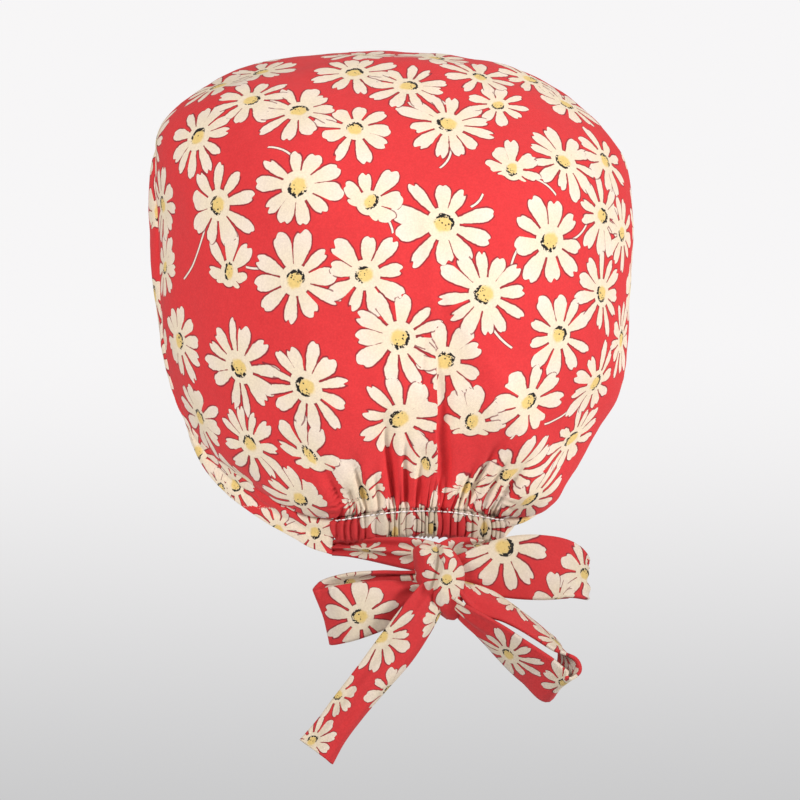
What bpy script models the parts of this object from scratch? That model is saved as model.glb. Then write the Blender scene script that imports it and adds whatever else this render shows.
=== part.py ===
"""Tie-back scrub cap in printed cotton, in the shape that it has when it is worn.

Metres, +Z up. The face looks along -Y, the gathered nape is at +Y, and +X is the wearer's left.
The origin is the middle of the head opening, at the height where the cap sits on the ears.
"""

import math
from collections import namedtuple

import bmesh
import bpy
import numpy as np
from mathutils import Vector

MM = 0.001

# Cloth: one turned layer, and the clearance that every sewn edge keeps from its neighbour
CLOTH = 1.2 * MM
SEWN_GAP = 0.4 * MM

# Seam between crown and front band
SEAM_HALF_WIDTH = 108.0 * MM
SEAM_TOP = 144.5 * MM
SEAM_FORWARD = 46.0 * MM
SEAM_DROP = 61.0 * MM
SEAM_TUCK = 8.0 * MM

# Crown
CROWN_BACK = 121.0 * MM
CROWN_MIDDLE = 45.0 * MM
SEAM_EASE = 6.0 * MM
TOP_GATHER_DEPTH = 1.6 * MM
TOP_GATHER_START = 12.0 * MM
TOP_GATHER_LENGTH = 46.0 * MM
TOP_GATHERS = 15
PLEAT_DEPTH = 2.2 * MM
PLEAT_LENGTH = 96.0 * MM
PLEAT_WIDTH = 7.0 * MM
PLEAT_SIDE = -6.6 * MM
PLEAT_SLANT = 0.1

# Elastic casing at the nape
CASING_BACK = 78.0 * MM
CASING_ARCH = 5.0 * MM
CASING_HEIGHT = 12.5 * MM
CASING_END_HEIGHT = 8.0 * MM
CASING_THICKNESS = 3.0 * MM
CASING_END_GAP = 0.7 * MM
STRAP_DROP = 2.2 * MM
FOLDS = 11
FOLD_DEPTH = 1.3 * MM
FOLD_FAN = 58.0 * MM
FOLD_LENGTH = 30.0 * MM
LONG_FOLD_DEPTH = 3.2 * MM
LONG_FOLD_LENGTH = 60.0 * MM
CASING_SWELL = 0.6 * MM

# Face edge of the front band
EDGE_HALF_WIDTH = 94.5 * MM
EDGE_FORWARD = 97.0 * MM
EDGE_BACK = 66.0 * MM
EDGE_TOP = 15.0 * MM
EDGE_DROP = 77.5 * MM
EDGE_TUCK = 13.0 * MM
EDGE_TUCK_UP = 8.0 * MM

# Ties and bow
TIE_WIDTH = 26.5 * MM
TIE_THICKNESS = 1.5 * MM
KNOT_SIDE = -6.0 * MM
KNOT_BACK = 92.0 * MM
KNOT_DROP = 90.0 * MM
KNOT_HALF_WIDTH = 10.5 * MM
KNOT_HALF_DEPTH = 9.0 * MM
KNOT_HALF_LENGTH = 18.0 * MM
KNOT_LEAN = 20.0
LEFT_LOOP = 57.0 * MM
RIGHT_LOOP = 69.0 * MM
LOWER_LOOP = 66.0 * MM
TAIL = 98.0 * MM

# Mesh density
SEAM_STEPS = 56
CASING_STEPS = 42
CROWN_ROWS = (0.0, 0.035, 0.08, 0.135, 0.2, 0.275, 0.36, 0.46, 0.58, 0.72, 0.87)
BAND_ROWS = 6
STRIP_STEPS = 22
STRIP_ACROSS = 4

# Half of the seam and of the face edge below it, from the casing's end over the ear to the middle of the
# forehead. Lengths are shares of the sizes above. The tucks draw the wearer's right side in.
SeamRow = namedtuple(
    "SeamRow",
    "side back up square swell seam_tuck edge_side edge_back edge_up edge_tuck valley",
)
SEAM_ROWS = (
    SeamRow(0.364, 0.935, 0.000, 1.50, 0.00, 0.0, 0.418, 1.000, 0.000, 0.2, 0.00),
    SeamRow(0.467, 0.891, 0.008, 1.70, 0.01, -0.5, 0.508, 0.963, 0.032, 0.4, 0.00),
    SeamRow(0.560, 0.839, 0.028, 1.85, 0.01, -0.3, 0.590, 0.920, 0.086, 0.7, 0.00),
    SeamRow(0.705, 0.694, 0.088, 2.00, 0.02, 0.3, 0.735, 0.834, 0.189, 1.0, 0.05),
    SeamRow(0.795, 0.589, 0.132, 2.10, 0.02, 0.5, 0.850, 0.755, 0.286, 1.0, 0.10),
    SeamRow(0.872, 0.492, 0.194, 2.20, 0.02, 0.4, 0.945, 0.681, 0.416, 0.8, 0.15),
    SeamRow(0.935, 0.435, 0.265, 2.30, 0.02, 0.1, 0.990, 0.620, 0.546, 0.5, 0.25),
    SeamRow(0.978, 0.403, 0.368, 2.40, 0.02, 0.1, 1.000, 0.583, 0.632, 0.2, 0.35),
    SeamRow(1.000, 0.395, 0.534, 2.40, 0.03, 0.2, 0.979, 0.528, 0.719, 0.0, 0.40),
    SeamRow(1.008, 0.379, 0.667, 2.40, 0.04, 0.2, 0.926, 0.448, 0.795, 0.0, 0.40),
    SeamRow(1.010, 0.331, 0.765, 2.45, 0.06, 0.7, 0.868, 0.362, 0.859, 0.0, 0.30),
    SeamRow(0.968, 0.258, 0.848, 2.50, 0.08, 1.0, 0.783, 0.258, 0.924, 0.0, 0.20),
    SeamRow(0.812, 0.169, 0.919, 2.55, 0.11, 1.1, 0.656, 0.153, 0.962, 0.0, 0.12),
    SeamRow(0.605, 0.089, 0.962, 2.60, 0.135, 0.9, 0.487, 0.080, 0.984, 0.0, 0.08),
    SeamRow(0.365, 0.024, 0.989, 2.60, 0.145, 0.4, 0.275, 0.025, 0.996, 0.0, 0.05),
    SeamRow(0.000, 0.000, 1.000, 2.60, 0.16, 0.0, 0.000, 0.000, 1.000, 0.0, 0.05),
)

# A valley that runs up the crown from the casing: where it lies from the middle to the casing's left end,
# and how wide it is, as shares of the casing's half width, and its depth and length as shares of the sizes
# above
LongFold = namedtuple("LongFold", "side width depth length")
LONG_FOLDS = (
    LongFold(0.92, 0.12, 0.35, 0.45),
    LongFold(0.64, 0.10, 0.50, 0.50),
    LongFold(0.30, 0.11, 1.00, 1.00),
    LongFold(-0.52, 0.11, 0.70, 0.60),
    LongFold(-0.84, 0.12, 0.50, 0.45),
)

# A tie's centre line. Reach runs along the strip's heading, lift across it in the plane of the bow, and
# out away from the neck, as shares of its length and of the tie's width. Lean turns the tie's width from
# the plane of the bow, and curl bends its two edges away from its outer face.
TieRow = namedtuple("TieRow", "reach lift out width lean curl")
LEFT_LOOP_HEADING = -18.0
LEFT_LOOP_ROWS = (
    TieRow(0.02, -0.12, 0.06, 0.36, 0, 70),
    TieRow(0.20, -0.14, 0.02, 0.48, 0, 75),
    TieRow(0.42, -0.13, 0.10, 0.74, 0, 50),
    TieRow(0.68, -0.10, 0.12, 0.94, 0, 30),
    TieRow(0.90, -0.06, 0.03, 1.00, 0, 12),
    TieRow(1.00, -0.02, -0.18, 1.00, 0, 0),
    TieRow(0.92, 0.08, -0.40, 1.00, 10, 12),
    TieRow(0.68, 0.17, -0.40, 0.90, 20, 30),
    TieRow(0.42, 0.17, -0.28, 0.64, 20, 50),
    TieRow(0.20, 0.11, -0.17, 0.40, 10, 70),
    TieRow(0.02, 0.08, -0.12, 0.34, 0, 70),
)
RIGHT_LOOP_HEADING = 174.0
RIGHT_LOOP_ROWS = (
    TieRow(0.02, -0.12, 0.06, 0.36, 0, 40),
    TieRow(0.20, -0.15, 0.02, 0.66, 0, 50),
    TieRow(0.40, -0.14, 0.02, 1.00, 0, 35),
    TieRow(0.66, -0.08, 0.08, 1.12, 0, 22),
    TieRow(0.88, 0.00, 0.06, 1.02, 0, 12),
    TieRow(1.00, 0.12, -0.16, 0.86, 0, 0),
    TieRow(0.92, 0.10, -0.36, 0.92, 0, 12),
    TieRow(0.68, 0.02, -0.40, 0.95, 0, 22),
    TieRow(0.42, -0.04, -0.30, 0.74, 0, 40),
    TieRow(0.20, -0.08, -0.20, 0.42, 0, 40),
    TieRow(0.02, -0.06, -0.16, 0.34, 0, 40),
)
LOWER_LOOP_HEADING = 216.0
LOWER_LOOP_ROWS = (
    TieRow(0.04, -0.14, 0.18, 0.30, -90, 60),
    TieRow(0.22, -0.24, 0.40, 0.46, -98, 70),
    TieRow(0.42, -0.25, 0.54, 0.80, -112, 90),
    TieRow(0.70, -0.22, 0.56, 0.98, -114, 100),
    TieRow(0.92, -0.18, 0.54, 1.02, -106, 70),
    TieRow(1.04, -0.10, 0.50, 1.00, -98, 30),
    TieRow(1.06, 0.10, 0.46, 0.98, -110, 30),
    TieRow(0.98, 0.22, 0.44, 0.98, -134, 40),
    TieRow(0.76, 0.24, 0.42, 0.96, -140, 50),
    TieRow(0.50, 0.22, 0.36, 0.86, -134, 50),
    TieRow(0.26, 0.17, 0.24, 0.60, -116, 60),
    TieRow(0.06, 0.10, 0.14, 0.36, -90, 60),
)
TAIL_HEADING = -52.0
TAIL_ROWS = (
    TieRow(0.03, 0.00, 0.22, 0.60, 0, 60),
    TieRow(0.15, -0.10, 0.34, 0.76, 0, 50),
    TieRow(0.32, -0.10, 0.40, 0.82, 0, 60),
    TieRow(0.52, -0.07, 0.40, 0.78, 0, 75),
    TieRow(0.72, -0.03, 0.36, 0.70, 0, 80),
    TieRow(0.88, 0.00, 0.32, 0.66, 0, 70),
    TieRow(1.00, -0.04, 0.30, 0.72, 0, 40),
)

COTTON = ("printed_cotton", (0.72, 0.045, 0.06, 1.0))
CASING_COTTON = ("casing_cotton", (0.74, 0.13, 0.12, 1.0))
TIE_COTTON = ("tie_cotton", (0.68, 0.04, 0.055, 1.0))


def share(low, high, part):
    return low + (high - low) * part


def smooth_step(value, start, end):
    """0 before start, 1 after end, and a smooth rise between them."""
    part = np.clip((value - start) / (end - start), 0.0, 1.0)
    return part * part * (3.0 - 2.0 * part)


def through(rows, at):
    """A smooth curve through rows of numbers, at shares 0 to 1 of its length in the first three."""
    rows = np.asarray(rows, float)
    steps = np.linalg.norm(np.diff(rows[:, :3], axis=0), axis=1)
    knots = np.concatenate([[0.0], np.cumsum(steps)]) / steps.sum()
    slopes = np.gradient(rows, knots, axis=0)
    at = np.asarray(at, float)
    piece = np.clip(np.searchsorted(knots, at, side="right") - 1, 0, len(knots) - 2)
    span = (knots[piece + 1] - knots[piece])[:, None]
    part = ((at - knots[piece]) / span[:, 0])[:, None]
    return (
        (2 * part**3 - 3 * part**2 + 1) * rows[piece]
        + (part**3 - 2 * part**2 + part) * span * slopes[piece]
        + (3 * part**2 - 2 * part**3) * rows[piece + 1]
        + (part**3 - part**2) * span * slopes[piece + 1]
    )


def unit(vectors):
    return vectors / np.maximum(np.linalg.norm(vectors, axis=-1, keepdims=True), 1e-12)


def half_seam(side):
    """The seam's rows in metres, on the wearer's left (1) or right (-1), from the casing up to the top."""
    made = []
    for row in SEAM_ROWS:
        tucked = 1.0 if side < 0 else 0.0
        x = row.side * SEAM_HALF_WIDTH - tucked * row.seam_tuck * SEAM_TUCK
        y = share(-SEAM_FORWARD, CASING_BACK, row.back)
        z = share(-SEAM_DROP, SEAM_TOP, row.up)
        edge_x = row.edge_side * EDGE_HALF_WIDTH - tucked * row.edge_tuck * EDGE_TUCK
        edge_y = share(-EDGE_FORWARD, EDGE_BACK, row.edge_back)
        edge_z = share(-EDGE_DROP, EDGE_TOP, row.edge_up) + tucked * row.edge_tuck * EDGE_TUCK_UP
        made.append(
            (side * x, y, z, row.square, row.swell, side * edge_x, edge_y, edge_z, row.valley)
        )
    return made


def seam_at(at):
    """Seam point, squareness, swell, face edge point and valley, from the left casing end over the top."""
    return through(half_seam(1) + half_seam(-1)[-2::-1], at)


def crossing_at(along):
    """The way that the cloth crosses the seam: backwards round the head, and upwards at the casing."""
    from_end = np.minimum(along, 1.0 - along)
    upward = 1.0 - smooth_step(from_end, 0.0, 0.10)
    return unit(np.stack([np.zeros_like(upward), 1.0 - upward, upward], axis=-1))


def casing_at(at):
    """Upper edge of the casing, with squareness and swell, from its right end to its left end."""
    right, left = seam_at([1.0])[0], seam_at([0.0])[0]
    middle = np.array(
        [0.0, CASING_BACK, share(right[2], left[2], 0.5) + CASING_ARCH, 1.3, 0.0]
    )
    rows = [right[:5]]
    for part in (0.35, 0.7, 1.0):
        bow = math.sin(part * math.pi / 2)
        rows.append(
            [share(right[0], middle[0], part)]
            + [share(right[k], middle[k], bow) for k in range(1, 5)]
        )
    for part in (0.7, 0.35):
        bow = math.sin(part * math.pi / 2)
        rows.append(
            [share(left[0], middle[0], part)]
            + [share(left[k], middle[k], bow) for k in range(1, 5)]
        )
    rows.append(left[:5])
    return through(rows, at)


def casing_half_width():
    return SEAM_ROWS[0].side * SEAM_HALF_WIDTH


def fold_angle(x, z):
    """-1 to 1 across the casing. The folds fan out from a point below it."""
    top = -SEAM_DROP + CASING_ARCH
    reach = np.maximum(z - top, 0.0) + FOLD_FAN
    return x * FOLD_FAN / reach / casing_half_width()


def ruffle(angle):
    """Height of the small folds, 0 to 1: round crests of uneven width with sharp valleys."""
    phase = angle * FOLDS * 0.5 + 0.30 * np.sin(angle * 4.1) + 0.16 * np.sin(angle * 9.7 + 1.0)
    return np.abs(np.cos(np.pi * phase)) ** 0.7


def gathers(x, z, distance):
    """How far the crown's folds stand out at a point that lies some distance from the casing."""
    angle = fold_angle(x, z)
    across = 1.0 - smooth_step(np.abs(angle), 0.86, 1.25)
    lift = across * FOLD_DEPTH * ruffle(angle) * (1.0 - smooth_step(distance, 0.0, FOLD_LENGTH))
    for fold in LONG_FOLDS:
        valley = np.exp(-(((angle - fold.side) / fold.width) ** 2))
        length = fold.length * LONG_FOLD_LENGTH
        rise = smooth_step(distance, 0.0, 0.2 * length)
        fade = 1.0 - smooth_step(distance, 0.25 * length, length)
        lift = lift - fold.depth * LONG_FOLD_DEPTH * valley * rise * fade
    return lift


def pleat(x, distance):
    """The pleat behind the middle of the head: its left side lies over its right side along a line."""
    away = x - PLEAT_SIDE - PLEAT_SLANT * distance
    lip = smooth_step(away, -0.1 * PLEAT_WIDTH, 0.1 * PLEAT_WIDTH)
    lip = lip * np.exp(-np.maximum(away, 0.0) / PLEAT_WIDTH)
    return PLEAT_DEPTH * lip * (1.0 - smooth_step(distance, 0.5 * PLEAT_LENGTH, PLEAT_LENGTH))


def top_gathers(along, distance):
    """Soft puckers where the crown is eased into the seam over the head."""
    over = smooth_step(along, 0.30, 0.40) * (1.0 - smooth_step(along, 0.60, 0.70))
    wave = 0.5 + 0.5 * np.sin(2 * np.pi * TOP_GATHERS * (along + 0.012 * np.sin(23.0 * along)))
    near = smooth_step(distance, 0.0, SEAM_EASE)
    near = near * (1.0 - smooth_step(distance, TOP_GATHER_START, TOP_GATHER_LENGTH))
    return TOP_GATHER_DEPTH * over * wave * near


def grid_normals(points, closed):
    """Unit normals of a grid of points, rows by columns, from its neighbours' differences."""
    if closed:
        along = np.roll(points, -1, axis=1) - np.roll(points, 1, axis=1)
    else:
        along = np.gradient(points, axis=1)
    return unit(np.cross(np.gradient(points, axis=0), along))


def crown_edge():
    """The closed edge of the crown: its points and spoke shapes, the way that the wall faces at each, and
    where each lies along the seam, or -1 on the casing."""
    seam_shares = np.linspace(0.0, 1.0, SEAM_STEPS + 1)
    casing_shares = np.linspace(0.0, 1.0, CASING_STEPS + 1)[1:-1]
    seam = seam_at(seam_shares)[:, :5]
    casing = casing_at(casing_shares)[:, :5]
    along = np.concatenate([seam_shares, np.full(len(casing_shares), -1.0)])
    edge = np.concatenate([seam, casing])
    tangent = np.roll(edge[:, :3], -1, axis=0) - np.roll(edge[:, :3], 1, axis=0)
    return edge, unit(np.cross(crossing_at(np.maximum(along, 0.0)), tangent)), along


def crown_surface():
    """Outer and inner points of the crown, row by row from its edge to the middle of its back."""
    edge, walls, along = crown_edge()
    pole = np.array([0.0, CROWN_BACK, CROWN_MIDDLE])
    rows = []
    for part in CROWN_ROWS:
        square, swell = edge[:, 3], edge[:, 4]
        turn = part * math.pi / 2
        bump = part / 0.25 * math.exp(1.0 - part / 0.25) * (1.0 - part)
        width = math.cos(turn) ** (2.0 / square) + swell * bump
        depth = math.sin(turn) ** (2.0 / square)
        x = edge[:, 0] * width
        y = edge[:, 1] + (pole[1] - edge[:, 1]) * depth
        z = pole[2] + (edge[:, 2] - pole[2]) * width
        rows.append(np.stack([x, y, z], axis=1))
    base = np.array(rows)
    normals = grid_normals(base, closed=True)
    steps = np.linalg.norm(np.diff(base, axis=0), axis=2)
    distance = np.concatenate([np.zeros((1, base.shape[1])), np.cumsum(steps, axis=0)])
    from_casing = np.hypot(base[..., 2] + SEAM_DROP - CASING_ARCH, base[..., 1] - CASING_BACK)
    from_casing = np.where(base[..., 2] < CROWN_MIDDLE + 0.3 * SEAM_TOP, from_casing, 1.0)
    on_seam = along >= 0.0
    level = np.where(on_seam[None, :], 1.0, smooth_step(distance, 0.0, SEAM_EASE))[..., None]
    normals = unit(normals * share(np.array([1.0, 1.0, 0.0]), np.ones(3), level))
    normals[0] = walls
    lift = gathers(base[..., 0], base[..., 2], from_casing) + pleat(base[..., 0], from_casing)
    lift = lift + top_gathers(along[None, :], distance)
    lift = lift * np.where(on_seam[None, :], smooth_step(distance, 0.0, SEAM_EASE), 1.0)
    outer = base + normals * lift[..., None]
    return outer, outer - normals * CLOTH, pole


def band_surface():
    """Outer and inner points of the front band, row by row from its face edge up to the seam."""
    along = np.linspace(0.0, 1.0, SEAM_STEPS + 1)
    made = seam_at(along)
    crossing = crossing_at(along)
    seam = made[:, 0:3] - crossing * SEWN_GAP
    edge = made[:, 5:8]
    valley = made[:, 8:9]
    length = np.linalg.norm(seam - edge, axis=1, keepdims=True)
    outward = unit(edge * np.array([1.0, 1.0, 0.0]))
    from_axis = unit((seam - np.array([0.0, 0.0, CROWN_MIDDLE])) * np.array([1.0, 0.0, 1.0]))
    leave = length * unit(outward * 0.22 + np.array([0.0, 0.0, 1.0]))
    arrive = length * 0.8 * (crossing - valley * from_axis)
    rows = []
    for part in np.linspace(0.0, 1.0, BAND_ROWS + 1):
        rows.append(
            (2 * part**3 - 3 * part**2 + 1) * edge
            + (part**3 - 2 * part**2 + part) * leave
            + (3 * part**2 - 2 * part**3) * seam
            + (part**3 - part**2) * arrive
        )
    outer = np.array(rows)
    normals = grid_normals(outer, closed=False)
    normals[-1] = crown_edge()[1][: SEAM_STEPS + 1]
    return outer, outer - normals * CLOTH


def casing_surface():
    """Outer and inner points of the ruffled casing, row by row from its free rim up to the crown."""
    margin = CASING_END_GAP / (2 * casing_half_width())
    shares = np.linspace(margin, 1.0 - margin, CASING_STEPS - 1)
    top = casing_at(shares)[:, :3]
    angle = top[:, 0] / casing_half_width()
    height = share(CASING_END_HEIGHT, CASING_HEIGHT, np.sqrt(np.clip(1.0 - angle**2, 0.0, 1.0)))
    outward = unit(top * np.array([1.0, 1.0, 0.0]))
    waves = FOLD_DEPTH * ruffle(angle)
    ends = 1.0 - smooth_step(np.abs(angle), 0.86, 1.25)
    outer, inner = [], []
    for part in (1.0, 0.86, 0.45, 0.12, 0.0):
        drop = SEWN_GAP + height * part
        middle = top - np.array([0.0, 0.0, 1.0]) * drop[:, None] - outward * (0.12 * drop)[:, None]
        swell = math.sin(math.pi * part) * CASING_SWELL
        scallop = waves * (0.35 if part == 1.0 else 0.0)
        middle[:, 2] += scallop
        outer.append(middle + outward * (waves * ends + swell)[:, None])
        inner.append(middle - outward * (CASING_THICKNESS - FOLD_DEPTH))
    return np.array(outer), np.array(inner)


def shell(name, outer, inner, material, pole=None):
    """A closed solid between two grids of points. With a pole, the grids close round and end at it."""
    mesh = bmesh.new()
    sides = []
    for grid in (outer, inner):
        sides.append([[mesh.verts.new(point) for point in row] for row in grid])
    rows, columns = len(outer), len(outer[0])
    span = columns if pole is not None else columns - 1
    for side, flip in zip(sides, (False, True)):
        for i in range(rows - 1):
            for j in range(span):
                k = (j + 1) % columns
                corners = (side[i][j], side[i][k], side[i + 1][k], side[i + 1][j])
                mesh.faces.new(corners[::-1] if flip else corners)
    for j in range(span):
        k = (j + 1) % columns
        mesh.faces.new((sides[1][0][j], sides[1][0][k], sides[0][0][k], sides[0][0][j]))
        if pole is None:
            mesh.faces.new((sides[0][-1][j], sides[0][-1][k], sides[1][-1][k], sides[1][-1][j]))
    if pole is None:
        for i in range(rows - 1):
            mesh.faces.new((sides[1][i][0], sides[0][i][0], sides[0][i + 1][0], sides[1][i + 1][0]))
            mesh.faces.new((sides[0][i][-1], sides[1][i][-1], sides[1][i + 1][-1], sides[0][i + 1][-1]))
    else:
        for side, depth, flip in zip(sides, (0.0, CLOTH), (False, True)):
            tip = mesh.verts.new(pole - np.array([0.0, depth, 0.0]))
            for j in range(columns):
                corners = (side[-1][j], side[-1][(j + 1) % columns], tip)
                mesh.faces.new(corners[::-1] if flip else corners)
    return add_object(name, mesh, material)


def add_object(name, mesh, material):
    bmesh.ops.recalc_face_normals(mesh, faces=mesh.faces)
    data = bpy.data.meshes.new(name)
    mesh.to_mesh(data)
    mesh.free()
    data.shade_smooth()
    data.set_sharp_from_angle(angle=math.radians(60.0))
    piece = bpy.data.objects.new(name, data)
    piece.data.materials.append(material)
    PARTS.objects.link(piece)
    return piece


def strip(name, start, heading, length, rows, material):
    """A flat tie swept along its rows, as a closed solid."""
    turn = math.radians(heading)
    ahead = np.array([math.cos(turn), 0.0, math.sin(turn)])
    lift = np.array([-math.sin(turn), 0.0, math.cos(turn)])
    out = np.array([0.0, 1.0, 0.0])
    table = []
    for row in rows:
        place = (
            start
            + ahead * row.reach * length
            + lift * row.lift * TIE_WIDTH
            + out * row.out * TIE_WIDTH
        )
        table.append([*place, row.width * TIE_WIDTH, math.radians(row.lean), math.radians(row.curl)])
    stations = through(table, np.linspace(0.0, 1.0, STRIP_STEPS + 1))
    centre = stations[:, :3]
    tangent = unit(np.gradient(centre, axis=0))
    across = lift * np.cos(stations[:, 4:5]) + out * np.sin(stations[:, 4:5])
    across = unit(across - (across * tangent).sum(1)[:, None] * tangent)
    face = np.cross(across, tangent)
    return sweep(name, centre, across, face, stations[:, 3], stations[:, 5], material)


def sweep(name, centre, across, face, width, curl, material):
    """Lays a curled section of cloth across each station of a line."""
    outer, inner = [], []
    for part in np.linspace(-0.5, 0.5, STRIP_ACROSS + 1):
        bend = np.maximum(curl, 1e-3)
        sideways = width * np.sin(bend * part) / bend
        inward = width * (1.0 - np.cos(bend * part)) / bend
        normal = face * np.cos(bend * part)[:, None] + across * np.sin(bend * part)[:, None]
        middle = centre + across * sideways[:, None] - face * inward[:, None]
        outer.append(middle + normal * TIE_THICKNESS / 2)
        inner.append(middle - normal * TIE_THICKNESS / 2)
    return shell(name, np.array(outer), np.array(inner), material)


def knot_centre():
    return np.array([KNOT_SIDE, KNOT_BACK, -KNOT_DROP])


def knot(name, clearance, material):
    """The wrapped knot: a squarish bean, pinched along the edges of the turn that wraps it."""
    mesh = bmesh.new()
    bmesh.ops.create_uvsphere(mesh, u_segments=16, v_segments=10, radius=1.0)
    lean = math.radians(KNOT_LEAN)
    upright = Vector((math.sin(lean), 0.0, math.cos(lean)))
    sideways = Vector((math.cos(lean), 0.0, -math.sin(lean)))
    middle = Vector(knot_centre())
    for vertex in mesh.verts:
        x, y, z = vertex.co
        fuller = 1.0 + 0.14 * math.sin(2.0 * math.atan2(y, x)) ** 2
        groove = 1.0 - 0.10 * math.exp(-(((z - 0.45) / 0.16) ** 2))
        long = math.copysign(abs(z) ** 0.8, z)
        vertex.co = (
            middle
            + sideways * x * fuller * groove * (KNOT_HALF_WIDTH + clearance)
            + Vector((0.0, 1.0, 0.0)) * y * fuller * groove * (KNOT_HALF_DEPTH + clearance)
            + upright * long * (KNOT_HALF_LENGTH + clearance)
        )
    return add_object(name, mesh, material)


def strap(name, side, material):
    """The tie from the end of the front band, below the casing, to the knot."""
    end = seam_at([0.0 if side > 0 else 1.0])[0]
    edge_end, seam_end = end[5:8], end[0:3]
    ceiling = seam_end[2] - CASING_END_HEIGHT - STRAP_DROP
    covered = (ceiling - edge_end[2]) / (seam_end[2] - edge_end[2])
    corner = edge_end + (seam_end - edge_end) * covered
    finish = knot_centre() + np.array([0.0, -0.3 * KNOT_HALF_DEPTH, 0.52 * KNOT_HALF_LENGTH])
    middle = (edge_end + corner) / 2
    slope = abs((middle[2] - finish[2]) / (middle[0] - finish[0]))
    slant = abs(corner[0] - edge_end[0]) + slope * (corner[2] - edge_end[2])
    begin = middle - np.array([side * (SEWN_GAP + slant / 2), CLOTH / 2, 0.0])
    parts = np.linspace(0.0, 1.0, STRIP_STEPS // 2 + 1)
    centre = begin + (finish - begin) * parts[:, None]
    width = share(np.linalg.norm(corner - edge_end), 0.36 * TIE_WIDTH, smooth_step(parts, 0.1, 0.9))
    tangent = unit(np.gradient(centre, axis=0))
    upward = np.array([0.0, 0.0, -float(side)])
    across = unit(upward - (tangent @ upward)[:, None] * tangent)
    face = np.cross(across, tangent)
    return sweep(name, centre, across, face, width, np.full(len(parts), 0.3), material)


def trim(piece, cutter):
    """Cuts a tie back to just short of the knot."""
    cut = piece.modifiers.new("trim_at_knot", "BOOLEAN")
    cut.operation = "DIFFERENCE"
    cut.solver = "EXACT"
    cut.object = cutter


def cotton(name, colour):
    material = bpy.data.materials.new(name)
    material.use_nodes = True
    shader = material.node_tree.nodes["Principled BSDF"]
    shader.inputs["Base Color"].default_value = colour
    shader.inputs["Roughness"].default_value = 0.85
    shader.inputs["Metallic"].default_value = 0.0
    return material


def new_collection(name):
    made = bpy.data.collections.new(name)
    bpy.context.scene.collection.children.link(made)
    return made


for old in list(bpy.data.objects):
    bpy.data.objects.remove(old)
PARTS = new_collection("scrub_cap")
CUTTERS = new_collection("cutters")

printed = cotton(*COTTON)
gathered = cotton(*CASING_COTTON)
tied = cotton(*TIE_COTTON)

crown_outer, crown_inner, crown_pole = crown_surface()
shell("crown", crown_outer, crown_inner, printed, pole=crown_pole)
shell("front_band", *band_surface(), printed)
shell("nape_casing", *casing_surface(), gathered)

knot("knot", 0.0, tied)
clearance = knot("knot_clearance", SEWN_GAP, tied)
PARTS.objects.unlink(clearance)
CUTTERS.objects.link(clearance)
clearance.hide_render = True
clearance.display_type = "WIRE"

ties = [
    strap("strap_left", 1, tied),
    strap("strap_right", -1, tied),
    strip("bow_loop_left", knot_centre(), LEFT_LOOP_HEADING, LEFT_LOOP, LEFT_LOOP_ROWS, tied),
    strip("bow_loop_right", knot_centre(), RIGHT_LOOP_HEADING, RIGHT_LOOP, RIGHT_LOOP_ROWS, tied),
    strip("bow_loop_lower", knot_centre(), LOWER_LOOP_HEADING, LOWER_LOOP, LOWER_LOOP_ROWS, tied),
    strip("tie_tail", knot_centre(), TAIL_HEADING, TAIL, TAIL_ROWS, tied),
]
for tie in ties:
    trim(tie, clearance)
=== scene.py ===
"""Dresses the tie-back scrub cap: printed cotton with its folds, gathers, stitches and bow."""

import math
from collections import namedtuple

import bpy
import numpy as np
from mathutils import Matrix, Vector
from mathutils.bvhtree import BVHTree


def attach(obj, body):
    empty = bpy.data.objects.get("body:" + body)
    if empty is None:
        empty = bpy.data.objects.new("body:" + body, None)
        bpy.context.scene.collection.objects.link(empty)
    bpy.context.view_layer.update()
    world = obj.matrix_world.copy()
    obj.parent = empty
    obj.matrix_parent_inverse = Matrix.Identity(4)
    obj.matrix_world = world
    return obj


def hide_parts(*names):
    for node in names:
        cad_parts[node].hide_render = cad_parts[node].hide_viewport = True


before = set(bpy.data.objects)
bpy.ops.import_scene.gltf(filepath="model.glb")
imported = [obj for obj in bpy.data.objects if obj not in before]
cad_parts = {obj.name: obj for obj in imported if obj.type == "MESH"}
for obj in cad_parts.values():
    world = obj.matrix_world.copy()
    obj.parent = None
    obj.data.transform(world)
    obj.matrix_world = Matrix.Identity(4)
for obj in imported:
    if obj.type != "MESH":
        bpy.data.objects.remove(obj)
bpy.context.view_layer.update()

MM = 0.001

# Sizes and seam points as the solids have them
CLOTH = 1.2 * MM
SEAM_HALF_WIDTH = 108.0 * MM
SEAM_TOP = 144.5 * MM
SEAM_FORWARD = 46.0 * MM
SEAM_DROP = 61.0 * MM
SEAM_TUCK = 8.0 * MM
CROWN_BACK = 121.0 * MM
CROWN_MIDDLE = 45.0 * MM
TOP_GATHER_DEPTH = 1.6 * MM
TOP_GATHERS = 15
PLEAT_DEPTH = 2.3 * MM
PLEAT_LENGTH = 104.0 * MM
PLEAT_WIDTH = 7.0 * MM
PLEAT_SIDE = -6.6 * MM
PLEAT_SLANT = 0.1
CASING_BACK = 78.0 * MM
CASING_ARCH = 5.0 * MM
CASING_HEIGHT = 12.5 * MM
CASING_END_HEIGHT = 8.0 * MM
CASING_HANG = 4.4 * MM
STRAP_RISE = 1.3 * MM
STRAP_TUCK = 0.8 * MM
FOLD_FAN = 58.0 * MM
EDGE_HALF_WIDTH = 94.5 * MM
EDGE_FORWARD = 97.0 * MM
EDGE_BACK = 66.0 * MM
EDGE_TOP = 15.0 * MM
EDGE_DROP = 77.5 * MM
EDGE_TUCK = 13.0 * MM
EDGE_TUCK_UP = 8.0 * MM
TIE_WIDTH = 26.5 * MM
TIE_THICKNESS = 1.5 * MM
STRAP_DROP = 2.2 * MM
KNOT_SIDE = -6.0 * MM
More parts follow.
